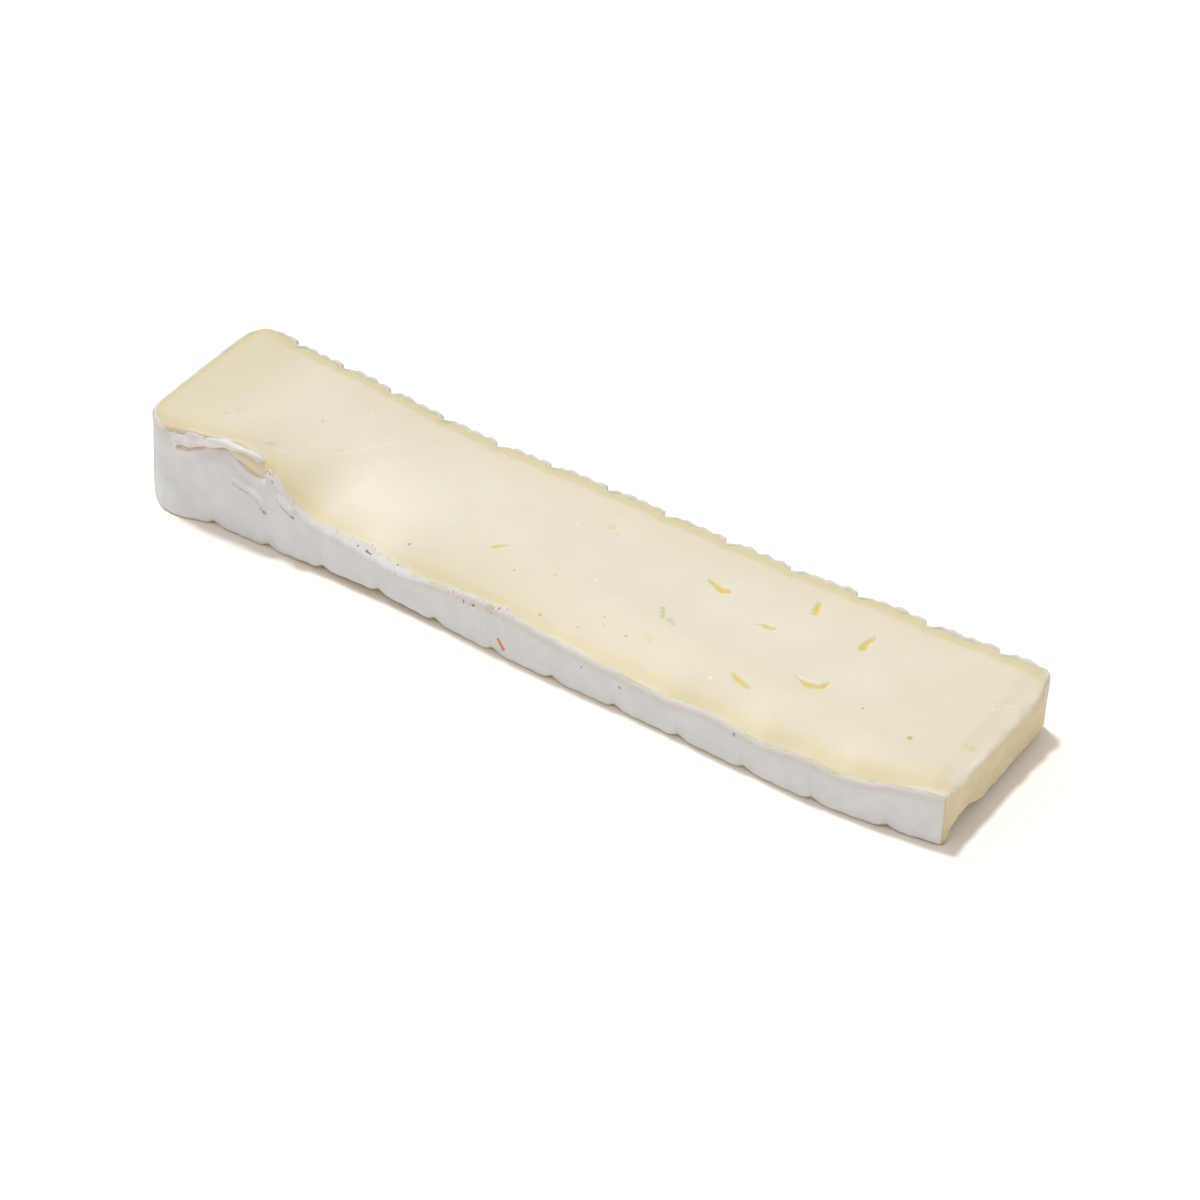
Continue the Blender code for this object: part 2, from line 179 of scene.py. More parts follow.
# Small corrections that the photo shows: slip of the back marks, lifted back corners, round corners
BACK_SLIP = 1.8
SLIP_START = 25.0
SLIP_LENGTH = 35.0
RIM_LIFT = 0.85
RIM_LIFT_START = 6.0
RIM_LIFT_LENGTH = 12.0
RIM_LIFT_WIDTH = 30.0
CUT_LIFT = 1.0
CUT_LIFT_START = 151.0
CUT_LIFT_REACH = 6.0
FULL_LIFT_HEIGHT = 9.0
RIM_TUCK = 0.15
RIM_TUCK_HEIGHT = 11.5
RIM_TUCK_RISE = 6.0
RIM_TUCK_LENGTH = 8.0
RIM_TUCK_START = 3.0
RIM_TUCK_WIDTH = 9.0
CUT_CORNER = 2.4
CUT_CORNER_WIDTH = 5.0


def slipped_back(x):
    """Where the solid's back marks lie for this place of the slice in the photo."""
    return x - BACK_SLIP * ease((x - SLIP_START) / SLIP_LENGTH)


def mat_marks(x, mat):
    """How far the flat face stands out at x: ribs, and a groove with one slow and one steep side."""
    phase = np.mod(mat_place(x, mat), 1.0)
    strip = ease((phase - GROOVE_FLOOR) / (GROOVE_RISE - GROOVE_FLOOR))
    strip = strip * ease((1 - phase) / (1 - GROOVE_FALL))
    rib_place = np.clip((phase - GROOVE_RISE) / (GROOVE_FALL - GROOVE_RISE), 0.0, 1.0)
    ribs = 0.5 - 0.5 * np.cos(2 * np.pi * STRIP_RIBS * rib_place)
    return GROOVE_DEPTH * (strip - FACE_LEVEL) + RIB_HEIGHT * ribs


def pressed(x, y, z, inset_front, inset_back):
    """Points of the plain slice moved by the lean of the rim, the foot and the mat's marks."""
    near_front = np.exp(-inset_front / RELIEF_REACH)
    near_back = np.exp(-inset_back / RELIEF_REACH)
    away_from_rim = ease((x - MARKS_START) / RIM_CORNER)
    front_share = FRONT_MAT_SHARE * (1 - FRONT_MAT_FADE * ease(z / FRONT_MAT_FADE_HEIGHT))
    marks = mat_marks(slipped_back(x), BACK_MAT) * near_back
    marks = marks - front_share * mat_marks(x, FRONT_MAT) * near_front
    flare = FOOT_FLARE * (1 - ease(np.abs(x - FOOT_FLARE_MIDDLE) / FOOT_FLARE_HALF))
    flare = flare * (1 - ease(z / FOOT_FLARE_HEIGHT)) * near_front
    lean = RIM_LEAN * (1 - ease(x / (2 * RIM_CORNER))) * ease(1 - z / RIM_LEAN_HEIGHT)
    tuck = RIM_TUCK * ease((z - RIM_TUCK_HEIGHT) / RIM_TUCK_RISE) * (1 - ease(x / RIM_TUCK_LENGTH))
    tuck = tuck * (1 - ease((inset_front - RIM_TUCK_START) / RIM_TUCK_WIDTH))
    turn = np.clip((x - LENGTH + CUT_CORNER) / CUT_CORNER, 0.0, 1.0)
    corner = CUT_CORNER * (1 - np.sqrt(1 - turn * turn)) * (1 - ease(inset_back / CUT_CORNER_WIDTH))
    lift = RIM_LIFT * (1 - ease((x - RIM_LIFT_START) / RIM_LIFT_LENGTH))
    lift = lift * (1 - ease(inset_back / RIM_LIFT_WIDTH))
    rise = ease((x - CUT_LIFT_START) / CUT_LIFT_REACH)
    lift = lift + CUT_LIFT * rise * np.exp(-inset_back / CUT_LIFT_REACH)
    y = y + marks * away_from_rim - flare + 0.4 * tuck - 0.75 * corner
    return x - lean + tuck, y, z + lift * ease(z / FULL_LIFT_HEIGHT)


def grain(x, y, z, size, seed):
    """Smooth random swell between -1 and 1 whose lumps are about this size."""
    shape = np.broadcast(x, y, z).shape
    place = np.stack([np.broadcast_to(c, shape).ravel() for c in (x, y, z)]) / size
    cell = np.floor(place).astype(np.int64)
    part = place - cell
    part = part * part * (3 - 2 * part)
    total = np.zeros(place.shape[1])
    for corner in range(8):
        step = np.array([[corner & 1], [corner >> 1 & 1], [corner >> 2]])
        at = cell + step
        mixed = (at[0] * 73856093) ^ (at[1] * 19349663) ^ (at[2] * 83492791) ^ (seed * 2654435761)
        mixed = ((mixed ^ (mixed >> 13)) * 1274126177) & 0xFFFFFFFF
        mixed = (mixed ^ (mixed >> 16)) & 0xFFFF
        weight = np.prod(np.where(step == 1, part, 1 - part), axis=0)
        total += weight * (mixed / 32767.5 - 1)
    return total.reshape(shape)


def cuts(length, step, fine):
    """Places from 0 to length, a step apart, and closer together next to both ends."""
    middle = np.linspace(fine[-1], length - fine[-1], round((length - 2 * fine[-1]) / step) + 1)
    return np.concatenate([fine[:-1], middle, length - np.array(fine[-2::-1])])


# Eyes: depth, then points of the slit as distance from the rim, distance across and radius
EYES = (
    (0.35, ((72.6, 11.0, 0.3), (73.5, 11.6, 0.5), (74.3, 12.2, 0.3), (75.6, 12.9, 0.1))),
    (0.5, ((108.8, 23.9, 0.25), (110.4, 23.5, 0.5), (111.9, 22.9, 0.75), (113.0, 23.4, 0.55))),
    (0.4, ((121.3, 18.8, 0.1), (122.2, 19.4, 0.25), (123.0, 19.3, 0.6), (124.0, 19.3, 0.5),
           (124.7, 20.1, 0.1))),
    (0.5, ((127.9, 26.6, 0.8), (127.6, 27.8, 0.6), (127.1, 29.2, 0.3))),
    (0.5, ((139.1, 23.1, 0.8), (139.0, 24.3, 0.45), (139.2, 25.3, 0.35), (139.5, 26.6, 0.1))),
    (0.35, ((124.4, 7.0, 0.2), (125.9, 6.1, 0.5), (127.4, 5.7, 0.5), (129.0, 5.3, 0.15))),
    (0.45, ((133.4, 11.2, 0.1), (134.8, 11.2, 0.25), (136.0, 10.7, 0.65), (137.3, 10.9, 0.75),
            (138.4, 11.4, 0.6), (138.8, 12.5, 0.35), (138.9, 13.7, 0.1))),
)
# Shallow drag marks that the knife and the wrapping left: start, end, depth, half width
SCRATCHES = (
    ((36.0, 13.6), (41.7, 22.2), 0.07, 0.22),
    ((32.4, 11.5), (35.0, 15.5), 0.05, 0.20),
    ((163.6, 21.6), (165.2, 23.2), 0.09, 0.20),
    ((164.8, 23.6), (166.0, 26.0), 0.10, 0.20),
    ((162.6, 24.4), (164.3, 27.6), 0.06, 0.18),
    ((160.4, 19.4), (162.2, 21.0), 0.05, 0.20),
    ((152.0, 16.0), (158.0, 20.5), 0.04, 0.25),
    ((28.6, 5.6), (31.2, 7.4), 0.05, 0.16),
    ((48.0, 24.0), (52.5, 29.5), 0.03, 0.20),
    ((62.0, 13.0), (66.5, 19.0), 0.03, 0.20),
    ((94.0, 18.0), (99.0, 23.0), 0.03, 0.20),
    ((116.0, 9.0), (121.0, 14.5), 0.03, 0.20),
    ((133.0, 17.0), (137.0, 21.5), 0.03, 0.20),
)
# Torn rind near the rim: the crack under its flap and the lip below the crack, as distance from
# the rim and inset from the top's edge, less than 0 down on the wall
CRACK = ((6.0, -2.6), (9.2, -2.9), (11.5, -2.5), (13.1, -2.65), (15.8, -1.85), (18.9, -1.55),
         (20.9, -0.95), (22.7, -0.7), (24.6, -0.2), (26.7, 0.4), (28.4, 1.1), (30.0, 1.9))
LOWER_LIP = ((6, -2.85), (9.2, -3.0), (13.4, -2.8), (15.4, -2.2), (17.1, -1.85), (19.2, -1.85),
             (21.4, -1.3), (22.6, -1.45), (23.4, -1.7), (24.3, -2.2), (25.4, -2.7), (26.9, -2.55),
             (28.3, -2.3), (29.5, -1.8), (31.0, -0.4))
TEAR_LEAN = 1.7
TEAR_START = 11.0
TEAR_END = 34.0
TEAR_DEPTH = 3.2
BEVEL_START = 20.0
RIND_SKIN = 0.25
RIND_END_FRONT = 0.7
RIND_END_BACK = 1.5
TOP_EDGE = 0.8
PASTE_EDGE = 0.3
TORN_BEVEL = 2.3
BACK_TUCKED = 0.45
CUT_EDGE = 0.6
UNDERSIDE_GAP = 0.05


def leaned_back(x, from_edge):
    """How far the slice leans back at the tear: most at the lip, nothing at 3 mm below it."""
    zone = ease((x - TEAR_START) / 8.0) * (1 - 0.7 * ease((x - BEVEL_START) / 5.0))
    zone = zone * ease((TEAR_END - x) / 5.0)
    below = along(LOWER_LIP, x) - from_edge
    above = from_edge - along(CRACK, x)
    return TEAR_LEAN * zone * np.clip(1 - below / TEAR_DEPTH, 0.0, 1.0) ** 2 * (1 - ease((above + 1.0) / 2.0))


def near_line(x, y, start, end):
    """Distance of points from a straight mark."""
    run = np.array(end) - np.array(start)
    share = np.clip(((x - start[0]) * run[0] + (y - start[1]) * run[1]) / (run @ run), 0.0, 1.0)
    return np.hypot(x - start[0] - share * run[0], y - start[1] - share * run[1])


def eye_reach(x, y, eye):
    """1 along the middle of an eye, 0 on its edge and below 0 outside."""
    reach = np.full(x.shape, -9.0)
    for start, end in zip(eye[1], eye[1][1:]):
        run = np.array(end[:2]) - np.array(start[:2])
        share = np.clip(((x - start[0]) * run[0] + (y - start[1]) * run[1]) / (run @ run), 0.0, 1.0)
        gap = np.hypot(x - start[0] - share * run[0], y - start[1] - share * run[1])
        reach = np.maximum(reach, 1 - gap / (start[2] + (end[2] - start[2]) * share))
    return reach + 0.15 * grain(x, y, 0.0, 0.8, 5)


def rounded(inset, radius):
    """Drop of a rounded edge at this distance in from it."""
    gap = np.clip(radius - inset, 0.0, radius)
    return radius - np.sqrt(radius * radius - gap * gap)


def cut_surface(x, y, inset_front, inset_back):
    """Height of the paste's cut top with its swells, eyes and scratches."""
    z = top_height(x, inset_front, inset_back)
    z = z + 0.07 * grain(x, y, 0.0, 14.0, 1) + 0.025 * grain(x, y, 0.0, 3.7, 2)
    z = z + 0.008 * grain(x * 0.2, y, 0.0, 0.7, 3)
    for eye in EYES:
        z = z - eye[0] * ease(0.2 + 1.1 * eye_reach(x, y, eye))
    for start, end, depth, half in SCRATCHES:
        z = z - depth * np.exp(-(near_line(x, y, start, end) / half) ** 2)
    return z


PASTE_STEP = 0.34
PASTE_FINE = (0.0, 0.1, 0.24, 0.42, 0.64, 0.9)
WALL_FINE = 12
WALL_FINE_DEPTH = 4.2
WALL_PLAIN = 5
UNDER_STEP = 6
PASTE_WIDTH = 34.0

column_share = cuts(LENGTH, PASTE_STEP, PASTE_FINE) / LENGTH
row_share = cuts(PASTE_WIDTH, PASTE_STEP, PASTE_FINE) / PASTE_WIDTH
u, v = np.meshgrid(column_share, row_share, indexing="ij")
x = LENGTH * u
for _ in range(3):
    front = along(FRONT_LINE, x)
    width = along(BACK_LINE, x) - front
    inset_front = RIND_SKIN + (width - 2 * RIND_SKIN) * v
    rim = rim_line(inset_front, width - inset_front) + RIND_SKIN
    x = rim + (LENGTH - rim) * u
y = front + inset_front
inset_back = width - inset_front
z = cut_surface(x, y, inset_front, inset_back)
edge_radius = PASTE_EDGE + TORN_BEVEL * ease((x - BEVEL_START) / 4.0) * ease((TEAR_END - x) / 3.0)
z = z - rounded(inset_front - RIND_SKIN, edge_radius) - rounded(inset_back - RIND_SKIN, PASTE_EDGE)
z = z - rounded(x - rim, PASTE_EDGE) - rounded(LENGTH - x, CUT_EDGE)
top_shape = x.shape
top_places = np.stack([x, y, z, inset_front, inset_back, x - rim], axis=-1)

# Ring of the top's border, walked round once, and the walls that hang from it
last_i = top_shape[0] - 1
last_j = top_shape[1] - 1
ring = [(i, 0) for i in range(last_i)]
ring += [(last_i, j) for j in range(last_j)]
ring += [(i, last_j) for i in range(last_i, 0, -1)]
ring += [(0, j) for j in range(last_j, 0, -1)]
ring_i = np.array([place[0] for place in ring])
ring_j = np.array([place[1] for place in ring])
border = top_places[ring_i, ring_j]
floor_height = bottom_height(border[:, 0], border[:, 3]) + UNDERSIDE_GAP
drops = [WALL_FINE_DEPTH * (k + 1) / WALL_FINE for k in range(WALL_FINE)]
wall_rings = []
for drop in drops:
    wall = border.copy()
    wall[:, 2] = border[:, 2] - drop
    wall_rings.append(wall)
for k in range(WALL_PLAIN):
    wall = border.copy()
    lowest_fine = border[:, 2] - WALL_FINE_DEPTH
    wall[:, 2] = lowest_fine + (floor_height - lowest_fine) * (k + 1) / WALL_PLAIN
    wall_rings.append(wall)

# Underside: every few columns and rows of the top, as the table hides it
under_i = sorted(set(range(UNDER_STEP, last_i, UNDER_STEP)))
under_j = sorted(set(range(UNDER_STEP, last_j, UNDER_STEP)))
under = top_places[np.ix_(under_i, under_j)].copy()
under[..., 2] = bottom_height(under[..., 0], under[..., 3]) + UNDERSIDE_GAP

top_count = top_places.shape[0] * top_places.shape[1]
ring_count = len(ring)
all_places = np.concatenate([top_places.reshape(-1, 6)] + wall_rings + [under.reshape(-1, 6)])


def top_index(i, j):
    """Vertex of the top's grid."""
    return i * top_shape[1] + j


ring_top = ring_i * top_shape[1] + ring_j
level_index = [ring_top]
level_index += [top_count + k * ring_count + np.arange(ring_count) for k in range(len(wall_rings))]
faces = []
for i in range(last_i):
    for j in range(last_j):
        corners_of_face = (top_index(i, j), top_index(i + 1, j), top_index(i + 1, j + 1), top_index(i, j + 1))
        faces.append(corners_of_face)
for upper, lower in zip(level_index, level_index[1:]):
    faces += np.stack([upper, lower, np.roll(lower, -1), np.roll(upper, -1)], axis=-1).tolist()
ring_low = {place: int(index) for place, index in zip(ring, level_index[-1])}
under_base = top_count + len(wall_rings) * ring_count
under_index = dict(ring_low)
for a, i in enumerate(under_i):
    for b, j in enumerate(under_j):
        under_index[(i, j)] = under_base + a * len(under_j) + b
stops_i = [0] + under_i + [last_i]
stops_j = [0] + under_j + [last_j]
for i0, i1 in zip(stops_i, stops_i[1:]):
    for j0, j1 in zip(stops_j, stops_j[1:]):
        walk = [(i, j0) for i in range(i0, i1)] + [(i1, j) for j in range(j0, j1)]
        walk += [(i, j1) for i in range(i1, i0, -1)] + [(i0, j) for j in range(j1, j0, -1)]
        faces.append([under_index[place] for place in reversed(walk) if place in under_index])

# The mesh stands in the slice's own millimetres until here; the frame's box says where it goes
low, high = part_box("brie_log")
front_columns = np.linspace(0.0, LENGTH, 2000)
front_wall = pressed(front_columns, along(FRONT_LINE, front_columns), 0.0 * front_columns, 0.0, 40.0)[1]
shift = np.array([high.x / MM - LENGTH, low.y / MM - front_wall.min(), low.z / MM])


def new_piece(name, places, polygons, measures):
    """Mesh piece from points in the slice's millimetres, with one named measure a point."""
    mesh = bpy.data.meshes.new(name)
    mesh.from_pydata(((places + shift) * MM).tolist(), [], polygons)
    for measure, values in measures.items():
        layer = mesh.attributes.new(measure, 'FLOAT', 'POINT')
        layer.data.foreach_set("value", np.asarray(values, np.float32))
    mesh.shade_smooth()
    mesh.validate()
    piece = bpy.data.objects.new(name, mesh)
    bpy.context.scene.collection.objects.link(piece)
    return piece


def spot_reach(along_x, across, spots):
    """1 at the middle of the nearest round spot, 0 at its edge and beyond."""
    reach = np.zeros(along_x.shape)
    for east, north, radius in spots:
        reach = np.maximum(reach, 1 - np.hypot(along_x - east, across - north) / radius)
    return reach


# Marks in the paste: distance from the rim, distance across, radius
BROWN_SPOTS = ((58.3, 6.0, 0.5), (79.7, 8.0, 0.4), (86.4, 10.5, 0.35), (89.5, 2.0, 0.45), (92.5, 1.9, 0.3),
               (96.4, 3.0, 0.3), (99.2, 7.0, 0.35), (100.2, 5.6, 0.35), (104.6, 5.3, 0.45), (14.6, 8.4, 0.42),
               (15.8, 10.5, 0.32), (29.5, 17.6, 0.45), (52.6, 2.8, 0.35), (146.5, 10.4, 0.3))
YELLOW_SPOTS = ((24.3, 10.7, 1.0), (108.6, 6.5, 1.1), (107.7, 6.9, 0.9),
                (164.2, 11.7, 0.9), (165.3, 11.9, 0.8),
                (87.3, 25.9, 1.3), (89.0, 24.8, 0.8), (6.5, 4.5, 1.0))
GREEN_SPOTS = ((106.3, 13.6, 0.75), (106.8, 12.9, 0.8), (107.3, 12.2, 0.7), (107.6, 11.6, 0.5))
BLUE_SPOTS = ((109.0, 11.9, 1.1), (110.0, 11.2, 0.8), (27.5, 5.8, 0.9), (28.2, 6.4, 0.6),
              (27.0, 5.0, 0.55), (27.9, 7.4, 0.4))
# Painted glints: small white dots painted where the paste catches the light
PAINTED_GLINTS = ((30.0, 6.1, 0.45), (31.9, 11.5, 0.4), (34.2, 25.4, 0.4), (81.7, 23.1, 0.45), (93.0, 13.1, 0.5),
               (121.9, 4.4, 0.5), (132.5, 4.1, 0.35), (164.4, 22.4, 0.4), (165.4, 24.8, 0.4))
ORANGE_SPOTS = ((156.3, 8.4, 0.75),)
MARGIN_FRONT = ((0, 2.2), (20, 2.6), (32, 4.2), (45, 5.2), (60, 4.8), (80, 4.0), (110, 4.4), (135, 4.4),
                (150, 5.2), (168, 4.2))
RIPE_REACH = 9.0
RIPE_RIM = 34.0
# Where the rind's ragged edge lies: distance from the rim, inset from the top's front edge,
# less than 0 where the edge is down on the wall
RIND_EDGE_FRONT = (
    (0, 0.5), (5, 0.3), (7, 0.2), (8.5, 0.1), (11.4, 0.1), (13.6, 0.5), (15.4, 0.45), (19.2, 0.56),
    (21.3, 0.95), (23.1, 0.97), (24.6, 0.7), (26, 1.29), (27, 1.9), (28.2, 2.05), (29.2, 1.4),
    (30.0, -1.4), (30.8, -0.9), (31.6, 0.9), (32.4, 1.6), (33.2, 1.7), (34.5, 1.3), (36, 1.2),
    (38.1, 1.3), (42.3, 1.25), (43.6, 1.75), (47.1, 1.25), (48.5, 1.92), (50.3, 1.77), (53, 2.56),
    (54.7, 2.17), (56.8, 2.04), (59.4, 1.7), (61.5, 2.0), (62.6, 1.4), (65.8, 0.79), (68.7, 0.47),
    (71.4, 0.44), (75.5, 0.64), (80.6, 0.37), (82.2, 0.76), (84.2, 1.1), (85.1, 0.51), (85.9, 0.1),
    (88.2, 0.8), (89.2, 0.24), (91.5, 0.14), (94.5, 0.65), (99.7, 0.54), (104.1, 0.01), (107.3, 0.29),
    (110.6, -0.05), (111.8, 0.56), (113.1, 0.57), (117.4, 0.18), (119.9, 0.32), (125, 0.05),
    (129.3, 0.39), (130.6, 0.02), (134.5, 0.33), (143, 0.1), (152, -0.3), (160, 0.1), (166, 0.8),
    (168, 0.9))

px, py, pz, p_front, p_back, p_rim = all_places.T
is_top = np.arange(len(px)) < top_count
edge_height = top_height(px, np.zeros_like(px), p_front + p_back) - TOP_EDGE
from_edge = np.where(is_top, p_front, pz - edge_height)
off_crack = np.abs(from_edge - along(CRACK, px))
in_crack = (1 - ease(off_crack / 0.6)) * ease((px - 7.0) / 4.0) * ease((27.0 - px) / 7.0) * (p_front < 4.0)
margin = (1 - ease((p_front - 0.4) / along(MARGIN_FRONT, px))) * is_top
olive = np.maximum(1 - ease((p_back - 1.8) / 2.2), 0.8 * (1 - ease((p_rim - 0.6) / 3.0))) * is_top
side_share = np.maximum(np.exp(-p_front / RIPE_REACH), 0.6 * np.exp(-p_back / RIPE_REACH))
ripe = np.maximum(side_share, 0.8 * (1 - ease(px / RIPE_RIM)))
ripe = np.maximum(ripe, 0.4 * ease((px - 138.0) / 20.0))
cut_slope = ease((px - LENGTH + 3.4) / 3.2) * (pz > top_height(px, p_front, p_back) - 0.5)
haze = 1 - ease((from_edge - along(RIND_EDGE_FRONT, px) - 0.2) / 1.0)
eye_depth = np.max([eye_reach(px, py, eye) for eye in EYES], axis=0) * is_top
wx, wy, wz = pressed(px, py, pz, p_front, p_back)
near_cut = ease((px - LENGTH + 2.5) / 2.5)
wobble = 0.24 * grain(py, pz, 0.0, 3.1, 8) + 0.12 * grain(py, pz, 0.0, 1.1, 9)
wobble = wobble + 0.04 * grain(py, pz, 0.0, 0.5, 10)
wx = wx + near_cut * (0.04 + (0.24 + wobble) * ease(np.minimum(p_front, p_back) / 1.5))
chips = 0.3 * grain(py, 0.0, 0.0, 1.9, 12) + 0.15 * grain(py, 0.0, 0.0, 0.7, 13)
wz = wz + chips * ease((px - LENGTH + 1.2) / 1.2) * is_top
# Bare paste in the tear: its own orange-tan, made lighter with painted light where the upright face is in
# shade
bare_and_painted_light = ease((px - 19.0) / 3.0) * ease((33.5 - px) / 3.0)
bare_and_painted_light = bare_and_painted_light * (1 - ease((from_edge - 0.6) / 1.2)) * (p_front < 4.0)
bare_and_painted_light = bare_and_painted_light * ease((from_edge - along(LOWER_LIP, px) + 0.4) / 0.4)
wy = wy + in_crack * 0.4 * (p_front < 0.5) - BACK_TUCKED * (1 - ease(p_back / 1.5))
wy = wy + leaned_back(px, from_edge) * (1 - ease((p_front - 0.3) / TEAR_DEPTH))

# Painted light on the top: the paste is made paler where it slopes away from the lamp, to cancel the shade
# there and give the top an even tone
LAMP_WAY = (-0.33, 0.12, 1.0)
LAMP_SHARE = 0.44
PAINTED_LIGHT_MOST = 0.12
STEP_ASIDE = 0.5
slope_x = (top_height(px + STEP_ASIDE, p_front, p_back) - top_height(px - STEP_ASIDE, p_front, p_back))
slope_y = (top_height(px, p_front + STEP_ASIDE, p_back - STEP_ASIDE)
           - top_height(px, p_front - STEP_ASIDE, p_back + STEP_ASIDE))
upright = 1 / np.sqrt(1 + slope_x ** 2 + slope_y ** 2)
lamp_light = np.clip(1 - slope_x * LAMP_WAY[0] - slope_y * LAMP_WAY[1], 0.0, 2.0) * upright
painted_light = np.clip(1 / (LAMP_SHARE * lamp_light + 1 - LAMP_SHARE) - 1.04, 0.0, PAINTED_LIGHT_MOST) * is_top
paste_measures = {
    "margin": margin,
    "peach": margin * (1 - ease((px - 45.0) / 50.0)),
    "olive": olive,
    "ripe": ripe,
    "slope": cut_slope,
    "painted_light": painted_light,
    "bare_and_painted_light": bare_and_painted_light,
    "face": near_cut * (px > LENGTH - 0.01),
    "skin": (px > LENGTH - 0.01) * np.clip(1.6 - p_back, 0.0, 1.0),
    # Where painted glints lie along the scratches
    "scratch_glint": np.max([np.exp(-(near_line(px, py, a, b) / (1.3 * half)) ** 2) * min(0.8, (depth / 0.09) ** 2)
                       for a, b, depth, half in SCRATCHES], axis=0) * is_top,
    "haze": haze * is_top * ease((px - 3.0) / 4.0),
    "eye": eye_depth,
    "crack": in_crack,
    "brown": spot_reach(px, py, BROWN_SPOTS) * is_top,
    "yellow": spot_reach(px, py, YELLOW_SPOTS) * is_top,
    "green": spot_reach(px, py, GREEN_SPOTS) * is_top,
    "blue": spot_reach(px, py, BLUE_SPOTS) * is_top,
    "white": spot_reach(px, py, PAINTED_GLINTS) * is_top,
    "orange": spot_reach(px, py, ORANGE_SPOTS) * is_top,
}
paste = new_piece("paste", np.stack([wx, wy, wz], axis=-1), faces, paste_measures)


class Shade:
    """One value or colour in a finish. Arithmetic on it adds Math nodes to the finish's tree."""

    def __init__(self, tree, socket=None):
        self.tree = tree
        self.socket = socket

    def node(self, kind, settings=None, sockets=None, out=0):
        """New node: its settings first, then values or links for its sockets; gives one output."""
        made = self.tree.nodes.new(kind)
        for name, value in (settings or {}).items():
            setattr(made, name, value)
        for name, value in (sockets or {}).items():
            if isinstance(value, Shade):
                self.tree.links.new(value.socket, made.inputs[name])
            else:
                made.inputs[name].default_value = value
        return Shade(self.tree, made.outputs[out])

    def maths(self, operation, first, second):
        return self.node("ShaderNodeMath", {"operation": operation}, {0: first, 1: second})

    def __add__(self, other):
        return self.maths('ADD', self, other)

    def __radd__(self, other):
        return self.maths('ADD', other, self)

    def __sub__(self, other):
        return self.maths('SUBTRACT', self, other)

    def __rsub__(self, other):
        return self.maths('SUBTRACT', other, self)

    def __mul__(self, other):
        return self.maths('MULTIPLY', self, other)

    def __rmul__(self, other):
        return self.maths('MULTIPLY', other, self)

    def step(self, start, end):
        """0 below start, 1 above end, smooth between."""
        settings = {"interpolation_type": 'SMOOTHSTEP'}
        return self.node("ShaderNodeMapRange", settings, {"Value": self, "From Min": start, "From Max": end})

    def tint(self, mask, colour):
        """This colour with another laid over it where the mask is 1."""
        return self.node("ShaderNodeMix", {"data_type": 'RGBA'}, {0: mask, 6: self, 7: colour}, 2)

    def scaled(self, factor):
        """This colour, brighter or darker by a factor."""
        return self.node("ShaderNodeVectorMath", {"operation": 'SCALE'}, {0: self, "Scale": factor})

    def measure(self, name):
        """A measure kept on the piece's points."""
        return self.node("ShaderNodeAttribute", {"attribute_name": name}, None, "Fac")

    def mottle(self, size, stretch=(1, 1, 1), detail=2.0):
        """Soft noise around 0.5 whose lumps are about this many millimetres."""
        place = self.node("ShaderNodeTexCoord", None, None, "Object")
        scaled = self.node("ShaderNodeVectorMath", {"operation": 'MULTIPLY'}, {0: place, 1: stretch})
        sockets = {"Vector": scaled, "Scale": 1 / (size * MM), "Detail": detail}
        return self.node("ShaderNodeTexNoise", None, sockets)


FULL_LIGHT = 1.19


def tone(red, green, blue):
    """Colour that shows as this screen colour, 0 to 255, under the studio's full light."""
    screen = np.array([red, green, blue]) / 255
    linear = np.where(screen <= 0.04045, screen / 12.92, ((screen + 0.055) / 1.055) ** 2.4)
    return (*[float(c) for c in linear / FULL_LIGHT], 1.0)


def new_finish(name, settings):
    """Material with a Principled shader, and the start of its node tree."""
    material = bpy.data.materials.new(name)
    material.use_nodes = True
    shader = material.node_tree.nodes["Principled BSDF"]
    for socket, value in settings.items():
        shader.inputs[socket].default_value = value
    return material, shader, Shade(material.node_tree)


def connect(shader, finish):
    """Link what varies over a surface to the shader."""
    for socket, shade in finish.items():
        shade.tree.links.new(shade.socket, shader.inputs[socket])


PASTE_IVORY = tone(235, 226, 204)
PASTE_PALE = tone(238, 230, 210)
PASTE_RIPE = tone(227, 215, 182)
PASTE_TAN = tone(228, 213, 173)
PASTE_ORANGE = tone(233, 208, 165)
PASTE_OLIVE = tone(224, 211, 164)
PASTE_CUT = tone(236, 233, 218)
PASTE_FACE = tone(232, 216, 179)
PASTE_BARE_PAINTED_LIGHT = tone(246, 228, 192)
EYE_YELLOW = tone(240, 220, 128)
EYE_DEEP = tone(232, 200, 92)
CRACK_ORANGE = tone(222, 172, 104)
SPOT_BROWN = tone(150, 122, 80)
SPOT_YELLOW = tone(226, 214, 150)
SPOT_GREEN = tone(184, 206, 132)
SPOT_BLUE = tone(190, 202, 198)
# Colour of the painted glints, on the dots and along the scratches
PAINTED_GLINT_WHITE = tone(252, 250, 244)
SPOT_ORANGE = tone(218, 166, 100)
HAZE_WHITE = tone(236, 230, 218)

